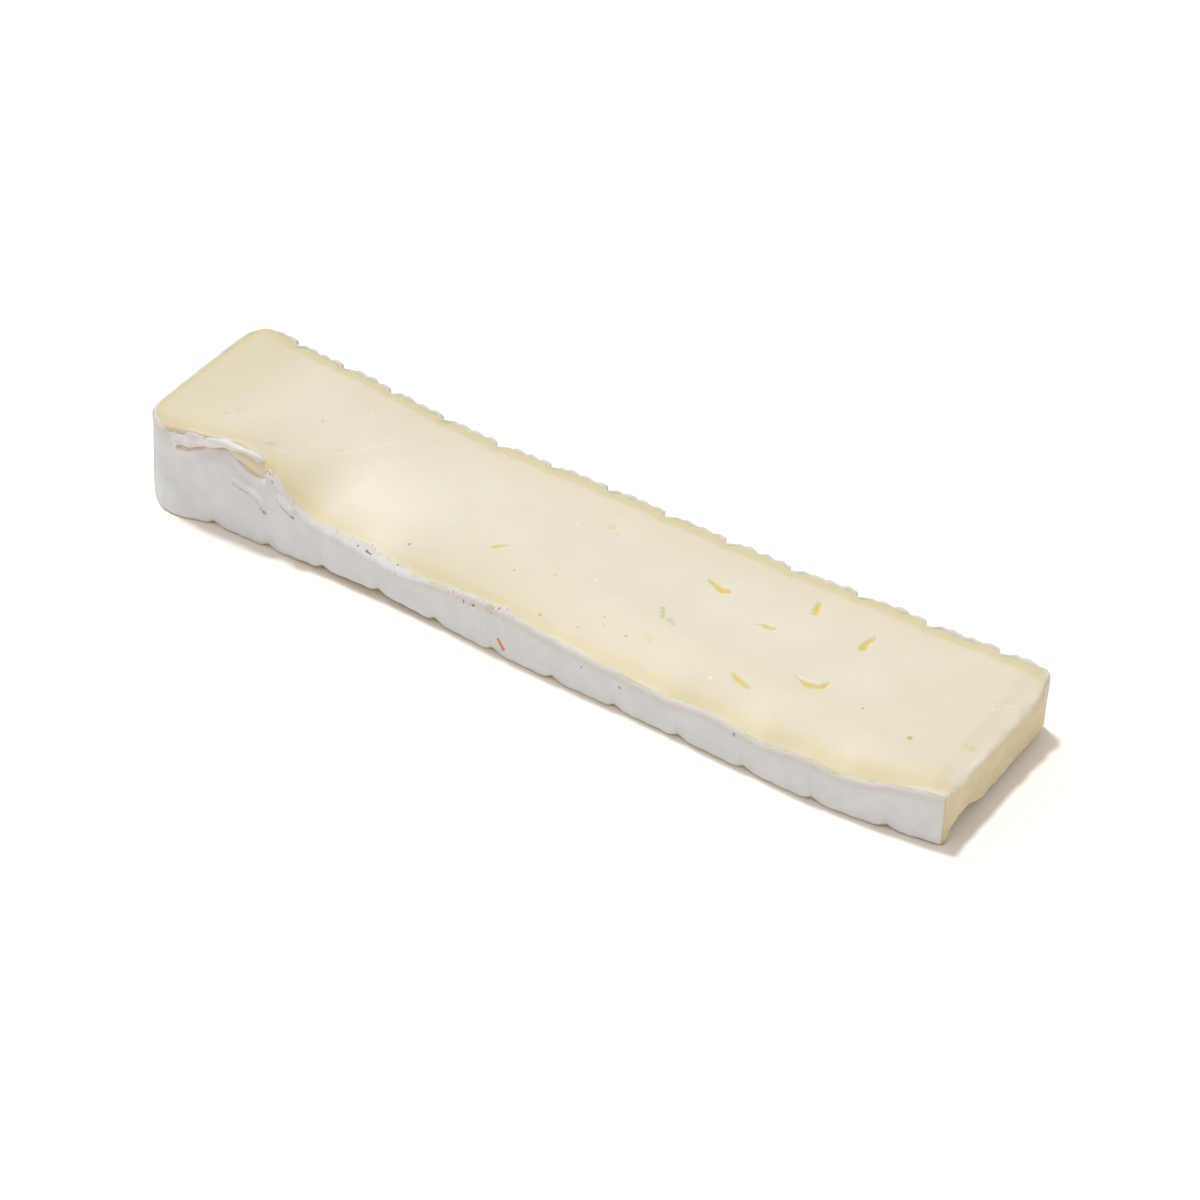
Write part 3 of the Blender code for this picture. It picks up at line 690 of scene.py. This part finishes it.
material, shader, start = new_finish("cut_paste", {
    "Roughness": 0.42,
    "Subsurface Weight": 0.25,
    "Subsurface Radius": (1.0, 0.6, 0.3),
    "Subsurface Scale": 0.002,
    "Specular IOR Level": 0.3,
})
cloud = start.mottle(9.0)
fine = start.mottle(0.8, detail=3.0)
drag = start.mottle(0.5, stretch=(1, 0.06, 1))
ragged = (start.mottle(1.1) - 0.5) * 0.55
colour = start.node("ShaderNodeMix", {"data_type": 'RGBA'},
                    {0: cloud.step(0.35, 0.68), 6: PASTE_IVORY, 7: PASTE_PALE}, 2)
colour = colour.tint((start.measure("ripe") + (cloud - 0.5) * 0.3).step(0.0, 1.05), PASTE_RIPE)
olive_mask = (start.measure("olive") + (start.mottle(2.0) - 0.5) * 0.4).step(0.1, 0.8)
colour = colour.tint(olive_mask * 0.85, PASTE_OLIVE)
band = start.measure("margin") + (start.mottle(2.6) - 0.5) * 0.45
colour = colour.tint(band.step(0.05, 0.75) * 0.9, PASTE_TAN)
colour = colour.tint((start.measure("peach") + (fine - 0.5) * 0.5).step(0.45, 1.1) * 0.75, PASTE_ORANGE)
# Painted light: paler where the top slopes away from the lamp
colour = colour.scaled(1 + start.measure("painted_light"))
stroke = start.mottle(1.5, stretch=(1, 0.35, 1), detail=3.0)
colour = colour.tint(start.measure("face") * 0.9, PASTE_FACE)
colour = colour.scaled(1 + start.measure("face") * (stroke - 0.5) * 0.3)
cut_mask = (start.measure("slope") + (start.mottle(1.6) - 0.5) * 0.9).step(0.3, 1.3)
colour = colour.tint(cut_mask * 0.45, PASTE_CUT)
colour = colour.tint((start.measure("skin") + (fine - 0.5) * 0.8).step(0.2, 0.8) * 0.75, HAZE_WHITE)
# Bare paste's orange-tan, with painted light against the shade of the upright face
colour = colour.tint((start.measure("bare_and_painted_light") + (fine - 0.5) * 0.5).step(0.2, 0.9) * 0.8, PASTE_BARE_PAINTED_LIGHT)
# Painted glints along the scratches
colour = colour.tint(start.measure("scratch_glint") * 0.6 * fine.step(0.35, 0.6), PAINTED_GLINT_WHITE)
colour = colour.tint((start.measure("haze") + (fine - 0.5) * 0.9).step(0.35, 0.95) * 0.4, HAZE_WHITE)
colour = colour.tint(start.measure("crack").step(0.3, 0.95), CRACK_ORANGE)
# Coloured spots in the paste; the white ones are painted glints
for name, shade, strength in (
    ("yellow", SPOT_YELLOW, 0.55),
    ("blue", SPOT_BLUE, 0.55),
    ("green", SPOT_GREEN, 0.7),
    ("brown", SPOT_BROWN, 0.7),
    ("orange", SPOT_ORANGE, 0.9),
    ("white", PAINTED_GLINT_WHITE, 0.8),
):
    mask = start.measure(name)
    colour = colour.tint((mask + ragged * mask.step(0.0, 0.1)).step(0.15, 0.7) * strength, shade)
eye_mask = (start.measure("eye") + ragged * 0.5).step(-0.1, 0.45)
colour = colour.tint(eye_mask * 0.85, EYE_YELLOW)
colour = colour.tint((start.measure("eye") + ragged).step(0.35, 0.9) * 0.6, EYE_DEEP)
height = fine * 0.35 + drag * 0.4 + start.mottle(0.25) * 0.25
connect(shader, {
    "Base Color": colour,
    "Roughness": 0.38 + cloud * 0.12 + eye_mask * 0.2,
    "Normal": start.node("ShaderNodeBump", None, {"Height": height, "Strength": 0.3, "Distance": 0.0001}),
})
paste.data.materials.append(material)
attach(paste, "root")
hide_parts("brie_log")

# The rind: a dry white skin of mould, half a millimetre thick, that grew on both flat faces and
# on the rim of the wheel. It follows the mat's grooves, rolls over the edges of the cut with a
# ragged lip, and has torn near the rim, where a flap of it hangs over a crack in the paste.
RIND_STEP_FRONT = 0.3
RIND_STEP_BACK = 0.42
RIND_REACH = 3.2
WALL_SUNK = 1.3
TOP_SUNK = 0.4
LIP_PROUD = 0.1
BOTTOM_EDGE = 0.6
EDGE_ROUND = 0.5
WALL_ROWS = 46
WALL_ROWS_BEND = 1.2
RIM_REACH = 1.0
BACK_REACH = 1.3
WRAP_LEAST = 0.8
TOOTH = 0.22


def outline():
    """Plan of the rind's outside, from the cut end along the front, round the rim and back."""
    straight = np.linspace(LENGTH - 0.02, RIM_CORNER + RIM_BULGE, 1200)
    places = [(x, along(FRONT_LINE, x)) for x in straight]
    front = float(along(FRONT_LINE, 0.0))
    back = float(along(BACK_LINE, 0.0))
    turns = np.radians(np.linspace(0, 90, 60))[1:]
    half = (back - front) / 2

    def bulge(inset):
        return RIM_BULGE * (1 - inset / half) ** 2

    for turn in turns:
        inset = RIM_CORNER * (1 - math.cos(turn))
        places.append((RIM_CORNER * (1 - math.sin(turn)) + bulge(inset), front + inset))
    for inset in np.linspace(RIM_CORNER, 2 * half - RIM_CORNER, 80)[1:-1]:
        places.append((bulge(inset), front + inset))
    for turn in reversed(turns):
        inset = RIM_CORNER * (1 - math.cos(turn))
        places.append((RIM_CORNER * (1 - math.sin(turn)) + bulge(inset), back - inset))
    places += [(x, along(BACK_LINE, x)) for x in reversed(straight)]
    return np.array(places, float)


plan = outline()
reached = np.concatenate([[0.0], np.cumsum(np.hypot(*np.diff(plan, axis=0).T))])
stops = np.concatenate([
    np.arange(0.0, LENGTH, RIND_STEP_FRONT),
    np.linspace(LENGTH, reached[-1], round((reached[-1] - LENGTH) / RIND_STEP_BACK))])
plan = np.stack([np.interp(stops, reached, plan[:, c]) for c in range(2)], axis=-1)
heading = np.gradient(plan, axis=0)
heading /= np.linalg.norm(heading, axis=1)[:, None]
for _ in range(4):
    heading[1:-1] = (heading[:-2] + 2 * heading[1:-1] + heading[2:]) / 4
heading /= np.linalg.norm(heading, axis=1)[:, None]
outward = np.stack([-heading[:, 1], heading[:, 0]], axis=-1)

# Rows of the rind's section: round the foot, up the wall, round the top edge and in over the top
edge_turns = np.radians(np.linspace(0, 90, 7))
top_insets = np.linspace(TOP_EDGE, RIND_REACH, 15)[1:]


def sides(x, y):
    """Insets of plan points from the front and the back line."""
    return np.maximum(y - along(FRONT_LINE, x), 0.0), np.maximum(along(BACK_LINE, x) - y, 0.0)


def rind_row(inset, height_rule, tilt):
    """One lengthwise row of the rind: plan points, heights, and the way that thickness goes."""
    row = plan - outward * inset
    inset_front, inset_back = sides(row[:, 0], row[:, 1])
    height = height_rule(row[:, 0], inset_front, inset_back)
    way = np.stack([outward[:, 0] * math.cos(tilt), outward[:, 1] * math.cos(tilt),
                    np.full(len(row), math.sin(tilt))], axis=-1)
    return row[:, 0], row[:, 1], height, inset_front, inset_back, way


wall_front, wall_back = sides(plan[:, 0], plan[:, 1])
wall_top = top_height(plan[:, 0], wall_front, wall_back) - TOP_EDGE
wall_low = bottom_height(plan[:, 0], wall_front) + BOTTOM_EDGE
rows = []
for turn in edge_turns[:0:-2]:
    inset = BOTTOM_EDGE * (1 - math.cos(turn))
    drop = BOTTOM_EDGE * math.sin(turn)
    rows.append((rind_row(inset, lambda x, f, b, d=drop: wall_low - d, -turn), wall_low - drop - wall_top))
for share in np.linspace(1.0, 0.0, WALL_ROWS) ** WALL_ROWS_BEND:
    depth = (wall_top - wall_low) * share
    rows.append((rind_row(0.0, lambda x, f, b, d=depth: wall_top - d, 0.0), -depth))
for turn in edge_turns[1:]:
    inset = TOP_EDGE * (1 - math.cos(turn))
    drop = TOP_EDGE * (1 - math.sin(turn))
    rows.append((rind_row(inset, lambda x, f, b, d=drop: top_height(x, f, b) - d, turn),
                 np.full(len(plan), inset)))
for inset in top_insets:
    rows.append((rind_row(inset, top_height, math.pi / 2), np.full(len(plan), inset)))

front_share = np.where(plan[:, 1] < PASTE_WIDTH / 2, 1.0, 0.0)
on_long_front = front_share * ease((plan[:, 0] - 3.0) / 5.0)
on_rim = 1 - ease((plan[:, 0] - 1.0) / 5.0)
wrapped = np.maximum(along(RIND_EDGE_FRONT, plan[:, 0]), WRAP_LEAST * ease((plan[:, 0] - 31.0) / 2.0))
reach = on_long_front * wrapped + (1 - on_long_front) * (
    on_rim * RIM_REACH + (1 - on_rim) * BACK_REACH)
lip_zone = front_share * np.maximum.reduce([
    ease((plan[:, 0] - 40) / 5) * ease((66 - plan[:, 0]) / 6),
    ease((plan[:, 0] - 70) / 4) * ease((88 - plan[:, 0]) / 3),
    0.5 * ease((plan[:, 0] - 28) / 3) * ease((40 - plan[:, 0]) / 4)])
torn = front_share * ease((plan[:, 0] - 7.5) / 2.5) * ease((30.6 - plan[:, 0]) / 0.8)

# Loose fold and wrinkle in the front rind. Each has its line of (distance from the rim, height),
# its rise and the fade above the line, its hollow and the fade below it, and where both end
FOLD = ((22.6, 12.2), (23.4, 11.9), (24.9, 11.5), (26.4, 11.15), (27.7, 11.0), (28.8, 10.1), (29.5, 8.9),
        (29.9, 8.0))
WRINKLE = ((33.2, 12.2), (34.0, 11.6), (35.0, 10.7), (36.6, 9.7))
FOLDS = ((FOLD, 1.0, 1.2, 0.3, 0.35, -0.08, 5), (WRINKLE, 0.6, 0.7, 0.25, 0.3, -0.05, 4))
GAP_SUNK = 0.8
FLAP_RISE = 0.8


def above_line(x, z, line):
    """Distance from a line on the front wall, less than 0 below it, and a fade at its ends."""
    best = np.full(x.shape, 1e3)
    side = np.ones(x.shape)
    for start, end in zip(line, line[1:]):
        run = np.array(end) - np.array(start)
        gap = near_line(x, z, start, end)
        cross = run[0] * (z - start[1]) - run[1] * (x - start[0])
        closer = gap < best
        side = np.where(closer, np.sign(cross), side)
        best = np.minimum(best, gap)
    fade = ease((x - line[0][0] + 0.6) / 1.6) * ease((line[-1][0] + 0.5 - x) / 1.0)
    return best * side, fade


def rind_level(row, from_edge):
    """How far the rind's outside stands out from the plain slice, and its distance from the edge."""
    x, y, z, inset_front, inset_back, way = row
    tear = grain(x, from_edge, 0.0, 1.6, 21) * 0.22 + grain(x, from_edge, 0.0, 0.6, 22) * 0.22
    to_edge = reach + tear * (0.8 + 0.9 * lip_zone) - from_edge
    in_gap = np.minimum(from_edge - along(LOWER_LIP, x), along(CRACK, x) + 0.05 - from_edge)
    in_gap = in_gap + 0.05 + 0.10 * grain(x, from_edge, 0.0, 0.8, 23)
    to_edge = np.where(torn > 0.01, np.minimum(to_edge, -in_gap + (1 - torn) * 2.0), to_edge)
    on_top = np.clip(way[:, 2], 0.0, 1.0)
    roll = np.clip(to_edge / EDGE_ROUND, 0.0, 1.0)
    full = np.sqrt(np.clip(1 - (1 - roll) ** 2, 0.0, 1.0))
    sunk = WALL_SUNK + (TOP_SUNK - WALL_SUNK) * on_top
    sunk = sunk + GAP_SUNK * torn * on_top * ease(in_gap / 0.5)
    proud = LIP_PROUD * on_top * (1 + 0.8 * lip_zone)
    bloom = 0.05 * grain(x, y, z, 6.0, 31) + 0.04 * grain(x, y, z, 1.9, 32) + 0.02 * grain(x, y, z, 0.7, 33)
    near_lip = front_share * np.clip(1 - to_edge / 2.4, 0, 1)
    flakes = 0.08 * grain(x * 0.6, y, z, 0.9, 34) + 0.08 * grain(x * 0.7, y, z, 0.45, 37)
    bloom = bloom + near_lip * (0.35 + 0.65 * lip_zone) * flakes
    bloom = np.maximum(bloom, -0.12)
    knobs = (1 - front_share) * (0.2 * grain(x, y, z * 0.3, 1.3, 35) + 0.12 * grain(x, y, z * 0.3, 3.4, 36))
    teeth = np.mod(mat_place(slipped_back(x), BACK_MAT) * (STRIP_RIBS + 1), 1.0)
    tooth = TOOTH * (ease(teeth / 0.35) * ease((1 - teeth) / 0.2) - 0.5)
    knobs = knobs + tooth * (1 - front_share) * ease(x / 9.0)
    level = -sunk + (sunk + np.maximum(proud + bloom + knobs, -0.15)) * full
    flap = torn * np.clip(1 - np.abs(from_edge + 1.2) / 2.4, 0.0, 1.0) * (from_edge > along(CRACK, x) - 0.3)
    level = level + FLAP_RISE * flap * np.clip(-from_edge / 2.5 + 0.2, 0.0, 1.0) * full
    on_front = front_share * (np.abs(way[:, 2]) < 0.5)
    for line, rise, rise_fade, hollow, hollow_fade, start, end in FOLDS:
        gap, fade = above_line(x, z, line)
        above = rise * np.exp(-np.maximum(gap, 0.0) / rise_fade)
        lifted = np.where(gap > start, above, -hollow * np.exp(gap / hollow_fade))
        level = level + lifted * fade * on_front * (np.abs(gap) < end) * full
    return level, to_edge


def crease(row, low, high):
    """1 on the folds' lines between two distances above them."""
    reach = np.zeros(len(plan))
    for line in (FOLD, WRINKLE):
        gap, fade = above_line(row[0], row[2], line)
        middle = (low + high) / 2
        reach = np.maximum(reach, fade * np.clip(1 - np.abs(gap - middle) / (high - middle), 0.0, 1.0))
    return reach * front_share


# Specks on the rind: distance from the rim, inset from the top's edge, radius
RED_SPECKS = ((50.6, 1.88, 0.26), (51.1, 2.07, 0.22), (50.7, 0.94, 0.32), (52.7, 0.93, 0.42),
              (53.6, 0.83, 0.38), (53.2, 0.9, 0.3), (57.2, 1.82, 0.28), (59.4, 1.37, 0.36),
              (72.8, 0.26, 0.3), (75.3, -0.2, 0.34), (75.35, -0.55, 0.34), (77.3, -0.5, 0.36),
              (77.7, -0.4, 0.28), (81.2, -0.5, 0.25), (31.4, 0.7, 0.4), (8.6, -2.3, 0.34),
              (32.0, 0.1, 0.25), (21.2, -3.6, 0.26), (22.6, -3.5, 0.26))
MAUVE_SPECKS = ((74.6, -0.34, 0.8), (52.2, 1.5, 1.3), (55.0, 1.8, 1.1), (46.0, 1.0, 1.2),
                (44.5, 1.4, 0.9), (77.4, -0.3, 0.9), (80.4, 0.0, 0.8), (30.8, 0.2, 1.2),
                (10.5, -1.2, 2.2), (14.0, -0.9, 1.8), (84.2, 0.6, 0.9), (100.5, -4.6, 0.5))
GREY_SPECKS = ((100.5, -1.2, 0.3), (108.3, -1.65, 0.4), (108.0, -1.55, 0.3), (116.5, -2.9, 0.25),
               (82.9, 0.52, 0.34), (131.0, -0.1, 0.4))
FLECK = ((82.8, 3.2), (83.3, 2.7), (83.9, 2.0))
INNER_INSET = 1.6
INNER_LIFT = 0.5

rind_rows = []
measures = {"edge": [], "red": [], "mauve": [], "grey": [], "fleck": [], "foot": [], "end": [], "fold_shadow": [],
            "fold_highlight": [], "flap": [], "rim": [], "lip": [], "back": []}
end_front = np.clip(1 - (stops - stops[0]) / 0.2, 0.0, 1.0)
for row, from_edge in rows:
    x, y, z, inset_front, inset_back, way = row
    level, to_edge = rind_level(row, from_edge)
    x, y, z = pressed(x, y, z, inset_front, inset_back)
    behind_crack = (from_edge < along(CRACK, plan[:, 0]) - 0.1) * front_share
    y = y + leaned_back(plan[:, 0], from_edge) * (1 - ease((inset_front - 0.3) / TEAR_DEPTH)) * behind_crack
    place = np.stack([x, y, z], axis=-1) + way * level[:, None]
    place[:, 2] = np.maximum(place[:, 2], 0.0)
    rind_rows.append(place)
    measures["edge"].append(to_edge)
    for name, specks in (("red", RED_SPECKS), ("mauve", MAUVE_SPECKS), ("grey", GREY_SPECKS)):
        measures[name].append(spot_reach(plan[:, 0], from_edge, specks) * front_share)
    fleck_gap = np.min([near_line(plan[:, 0], row[2], a, b) for a, b in zip(FLECK, FLECK[1:])], axis=0)
    measures["fleck"].append(np.clip(1 - fleck_gap / 0.75, 0.0, 1.0) * front_share)
    # Painted shadow below the fold and the wrinkle
    measures["fold_shadow"].append(crease(row, -1.0, 0.15))
    # Painted highlight along the ridge above the fold and the wrinkle
    measures["fold_highlight"].append(crease(row, 0.2, 1.6))
    # The flap's own white over the crack, and a painted highlight along the upper edge of the lip below it
    flap_and_lip_highlight = np.maximum(1 - np.abs(from_edge - along(CRACK, plan[:, 0]) - 1.2) / 2.0,
                           1 - np.abs(from_edge - along(LOWER_LIP, plan[:, 0]) + 0.6) / 1.8)
    measures["flap"].append(np.clip(flap_and_lip_highlight, 0.0, 1.0) * torn)
    # Painted shade: the rind at the rim end is coloured darker
    measures["rim"].append((1 - ease((plan[:, 0] - 0.5) / 4.5)) * (from_edge < 0.4))
    measures["lip"].append(lip_zone * np.clip(1 - to_edge / 2.6, 0.0, 1.0))
    measures["back"].append((1 - front_share) * ease((from_edge + 0.6) / 0.8))
    measures["foot"].append(1 - ease((row[2] - wall_low + BOTTOM_EDGE) / 1.0))
    measures["end"].append(end_front)
end_thin = np.clip(np.minimum(stops, stops[-1] - stops) / 6.0, 0.0, 1.0)
thin_front = RIND_END_FRONT + (INNER_INSET - RIND_END_FRONT) * end_thin
thin_back = RIND_END_BACK + (INNER_INSET - RIND_END_BACK) * end_thin
inner_inset = np.where(front_share > 0, thin_front, thin_back)[:, None]
for inset, share in ((RIND_REACH, 0.0), (inner_inset, 0.35), (inner_inset, 1.0)):
    row = rind_row(inset, top_height, 0.0)
    ceiling = row[2] - TOP_SUNK - 0.5
    ground = bottom_height(row[0], row[3]) + INNER_LIFT
    inner = pressed(row[0], row[1], ceiling + (ground - ceiling) * share, row[3], row[4])
    rind_rows.append(np.stack(inner, axis=-1))
    for name in measures:
        measures[name].append(end_front if name == "end" else np.zeros(len(plan)))

row_count = len(rind_rows)
column_count = len(plan)
grid = np.arange(row_count * column_count).reshape(row_count, column_count)
rind_faces = []
for r in range(row_count):
    near = grid[r]
    far = grid[(r + 1) % row_count]
    rind_faces += np.stack([near[1:], near[:-1], far[:-1], far[1:]], axis=-1).tolist()
rind_faces.append(grid[::-1, 0].tolist())
rind_faces.append(grid[:, -1].tolist())
rind_places = np.concatenate(rind_rows)
rind_measures = {name: np.concatenate(values) for name, values in measures.items()}
rind = new_piece("rind", rind_places, rind_faces, rind_measures)

RIND_WHITE = tone(238, 240, 241)
RIND_GREY = tone(233, 235, 235)
RIND_LIP = tone(230, 224, 213)
RIND_CREAM = tone(236, 228, 208)
RIND_FOOT = tone(240, 226, 206)
RIND_CUT = tone(240, 232, 212)
RIND_RIM_SHADE = tone(190, 184, 172)
RIND_BACK = tone(222, 217, 205)
LIP_LIGHT = tone(242, 237, 229)
FLAP_WHITE_AND_LIP_HIGHLIGHT = tone(247, 245, 247)
FOLD_SHADE = tone(165, 163, 157)
FOLD_HIGHLIGHT = tone(252, 253, 252)
LIP_SHADE = tone(214, 206, 194)
SPECK_RED = tone(160, 98, 92)
SPECK_MAUVE = tone(232, 218, 222)
SPECK_GREY = tone(150, 144, 128)
FLECK_ORANGE = tone(230, 156, 80)

material, shader, start = new_finish("bloomy_rind", {
    "Roughness": 0.85,
    "Subsurface Weight": 0.1,
    "Subsurface Radius": (1.0, 0.85, 0.7),
    "Subsurface Scale": 0.001,
    "Specular IOR Level": 0.2,
})
felt = start.mottle(0.35, detail=3.0)
patch = start.mottle(3.5, detail=3.0)
colour = start.node("ShaderNodeMix", {"data_type": 'RGBA'},
                    {0: patch.step(0.35, 0.65), 6: RIND_GREY, 7: RIND_WHITE}, 2)
edge = start.measure("edge")
colour = colour.tint((1 - (edge + (felt - 0.5) * 1.2).step(0.3, 2.2)) * 0.7, RIND_LIP)
colour = colour.tint((1 - (edge + (felt - 0.5) * 0.5).step(0.0, 0.5)) * 0.6, RIND_CREAM)
colour = colour.tint((start.measure("foot") + (patch - 0.5) * 0.6).step(0.25, 0.9) * 0.55, RIND_FOOT)
colour = colour.tint(start.measure("end").step(0.3, 0.8) * 0.9, RIND_CUT)
# Painted shade on the rind at the rim end
colour = colour.tint((start.measure("rim") + (patch - 0.5) * 0.5).step(0.1, 0.9) * 0.8, RIND_RIM_SHADE)
colour = colour.tint((start.measure("back") + (felt - 0.5) * 0.8).step(0.2, 1.0) * 0.75, RIND_BACK)
# The flap's own white, and a painted highlight on the upper edge of the lower lip
colour = colour.tint((start.measure("flap") + (felt - 0.5) * 0.5).step(0.1, 0.8) * 0.8, FLAP_WHITE_AND_LIP_HIGHLIGHT)
# Ragged patches on the lip: lighter ones, and darker ones that are painted shade
lip_mask = start.measure("lip").step(0.05, 0.5)
colour = colour.tint(start.mottle(0.9, detail=3.0).step(0.5, 0.62) * lip_mask * 0.5, LIP_LIGHT)
colour = colour.tint(start.mottle(0.6, detail=3.0).step(0.56, 0.68) * lip_mask * 0.6, LIP_SHADE)
pepper = start.mottle(0.32, detail=1.0).step(0.69, 0.76) * start.measure("lip").step(0.05, 0.4)
colour = colour.tint(pepper * 0.6, SPECK_RED)
# Painted shadow below the fold and the wrinkle
colour = colour.tint((start.measure("fold_shadow") + (felt - 0.5) * 0.4).step(0.0, 0.45) * 0.9, FOLD_SHADE)
# Painted highlight along the ridge above the fold and the wrinkle
colour = colour.tint((start.measure("fold_highlight") + (felt - 0.5) * 0.8).step(0.1, 0.8) * 0.8, FOLD_HIGHLIGHT)
ragged = (start.mottle(0.5) - 0.5) * 0.9
for name, shade, strength in (
    ("mauve", SPECK_MAUVE, 0.5),
    ("grey", SPECK_GREY, 0.75),
    ("red", SPECK_RED, 0.85),
    ("fleck", FLECK_ORANGE, 0.95),
):
    mask = start.measure(name)
    colour = colour.tint((mask + ragged * mask.step(0.0, 0.12)).step(0.18, 0.6) * strength, shade)
height = felt * 0.6 + start.mottle(0.16) * 0.4
connect(shader, {
    "Base Color": colour,
    "Normal": start.node("ShaderNodeBump", None, {"Height": height, "Strength": 0.3, "Distance": 0.00012}),
})
rind.data.materials.append(material)
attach(rind, "root")
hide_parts("brie_log")

# The studio: a plain white table under one large soft lamp from above and a little behind on
# the left, with even white light from all round. The camera has the photo's viewing angle.
TABLE_HALF = 3.0
TABLE_SINK = 0.00003
table_mesh = bpy.data.meshes.new("table")
square = ((-1, -1), (1, -1), (1, 1), (-1, 1))
table_corners = [(a * TABLE_HALF, b * TABLE_HALF, low.z - TABLE_SINK) for a, b in square]
table_mesh.from_pydata(table_corners, [], [(0, 1, 2, 3)])
table = bpy.data.objects.new("table", table_mesh)
bpy.context.scene.collection.objects.link(table)
material, shader, start = new_finish("white_table", {"Roughness": 0.8, "Specular IOR Level": 0.1})
shader.inputs["Base Color"].default_value = (0.97, 0.91, 0.85, 1.0)
table_mesh.materials.append(material)

lamp_data = bpy.data.lights.new("lamp", 'SUN')
lamp_data.energy = 1.85
lamp_data.color = (1.0, 1.03, 1.076)
lamp_data.angle = math.radians(7)
lamp = bpy.data.objects.new("lamp", lamp_data)
bpy.context.scene.collection.objects.link(lamp)
lamp.rotation_euler = Vector(LAMP_WAY).to_track_quat('Z', 'Y').to_euler()

world = bpy.data.worlds.new("studio")
bpy.context.scene.world = world
world.use_nodes = True
world.node_tree.nodes["Background"].inputs["Color"].default_value = (1.0, 0.975, 0.94, 1.0)
world.node_tree.nodes["Background"].inputs["Strength"].default_value = 0.635
bpy.context.scene.view_settings.view_transform = 'Standard'
bpy.context.scene.view_settings.look = 'None'

CAMERA_YAW = math.radians(35.4)
CAMERA_RISE = math.radians(35.9)
CAMERA_DISTANCE = 436.1
CAMERA_LENS = 75.0
CAMERA_SENSOR = 36.0
AIM = np.array([87.5, 22.05, 0.0])
back_way = np.array([math.sin(CAMERA_YAW) * math.cos(CAMERA_RISE),
                     -math.cos(CAMERA_YAW) * math.cos(CAMERA_RISE), math.sin(CAMERA_RISE)])
camera_data = bpy.data.cameras.new("camera")
camera_data.sensor_width = CAMERA_SENSOR
camera_data.lens = CAMERA_LENS
camera = bpy.data.objects.new("camera", camera_data)
camera.location = (AIM + shift + back_way * CAMERA_DISTANCE) * MM
camera.rotation_euler = Vector(back_way).to_track_quat('Z', 'Y').to_euler()
bpy.context.scene.collection.objects.link(camera)
bpy.context.scene.camera = camera
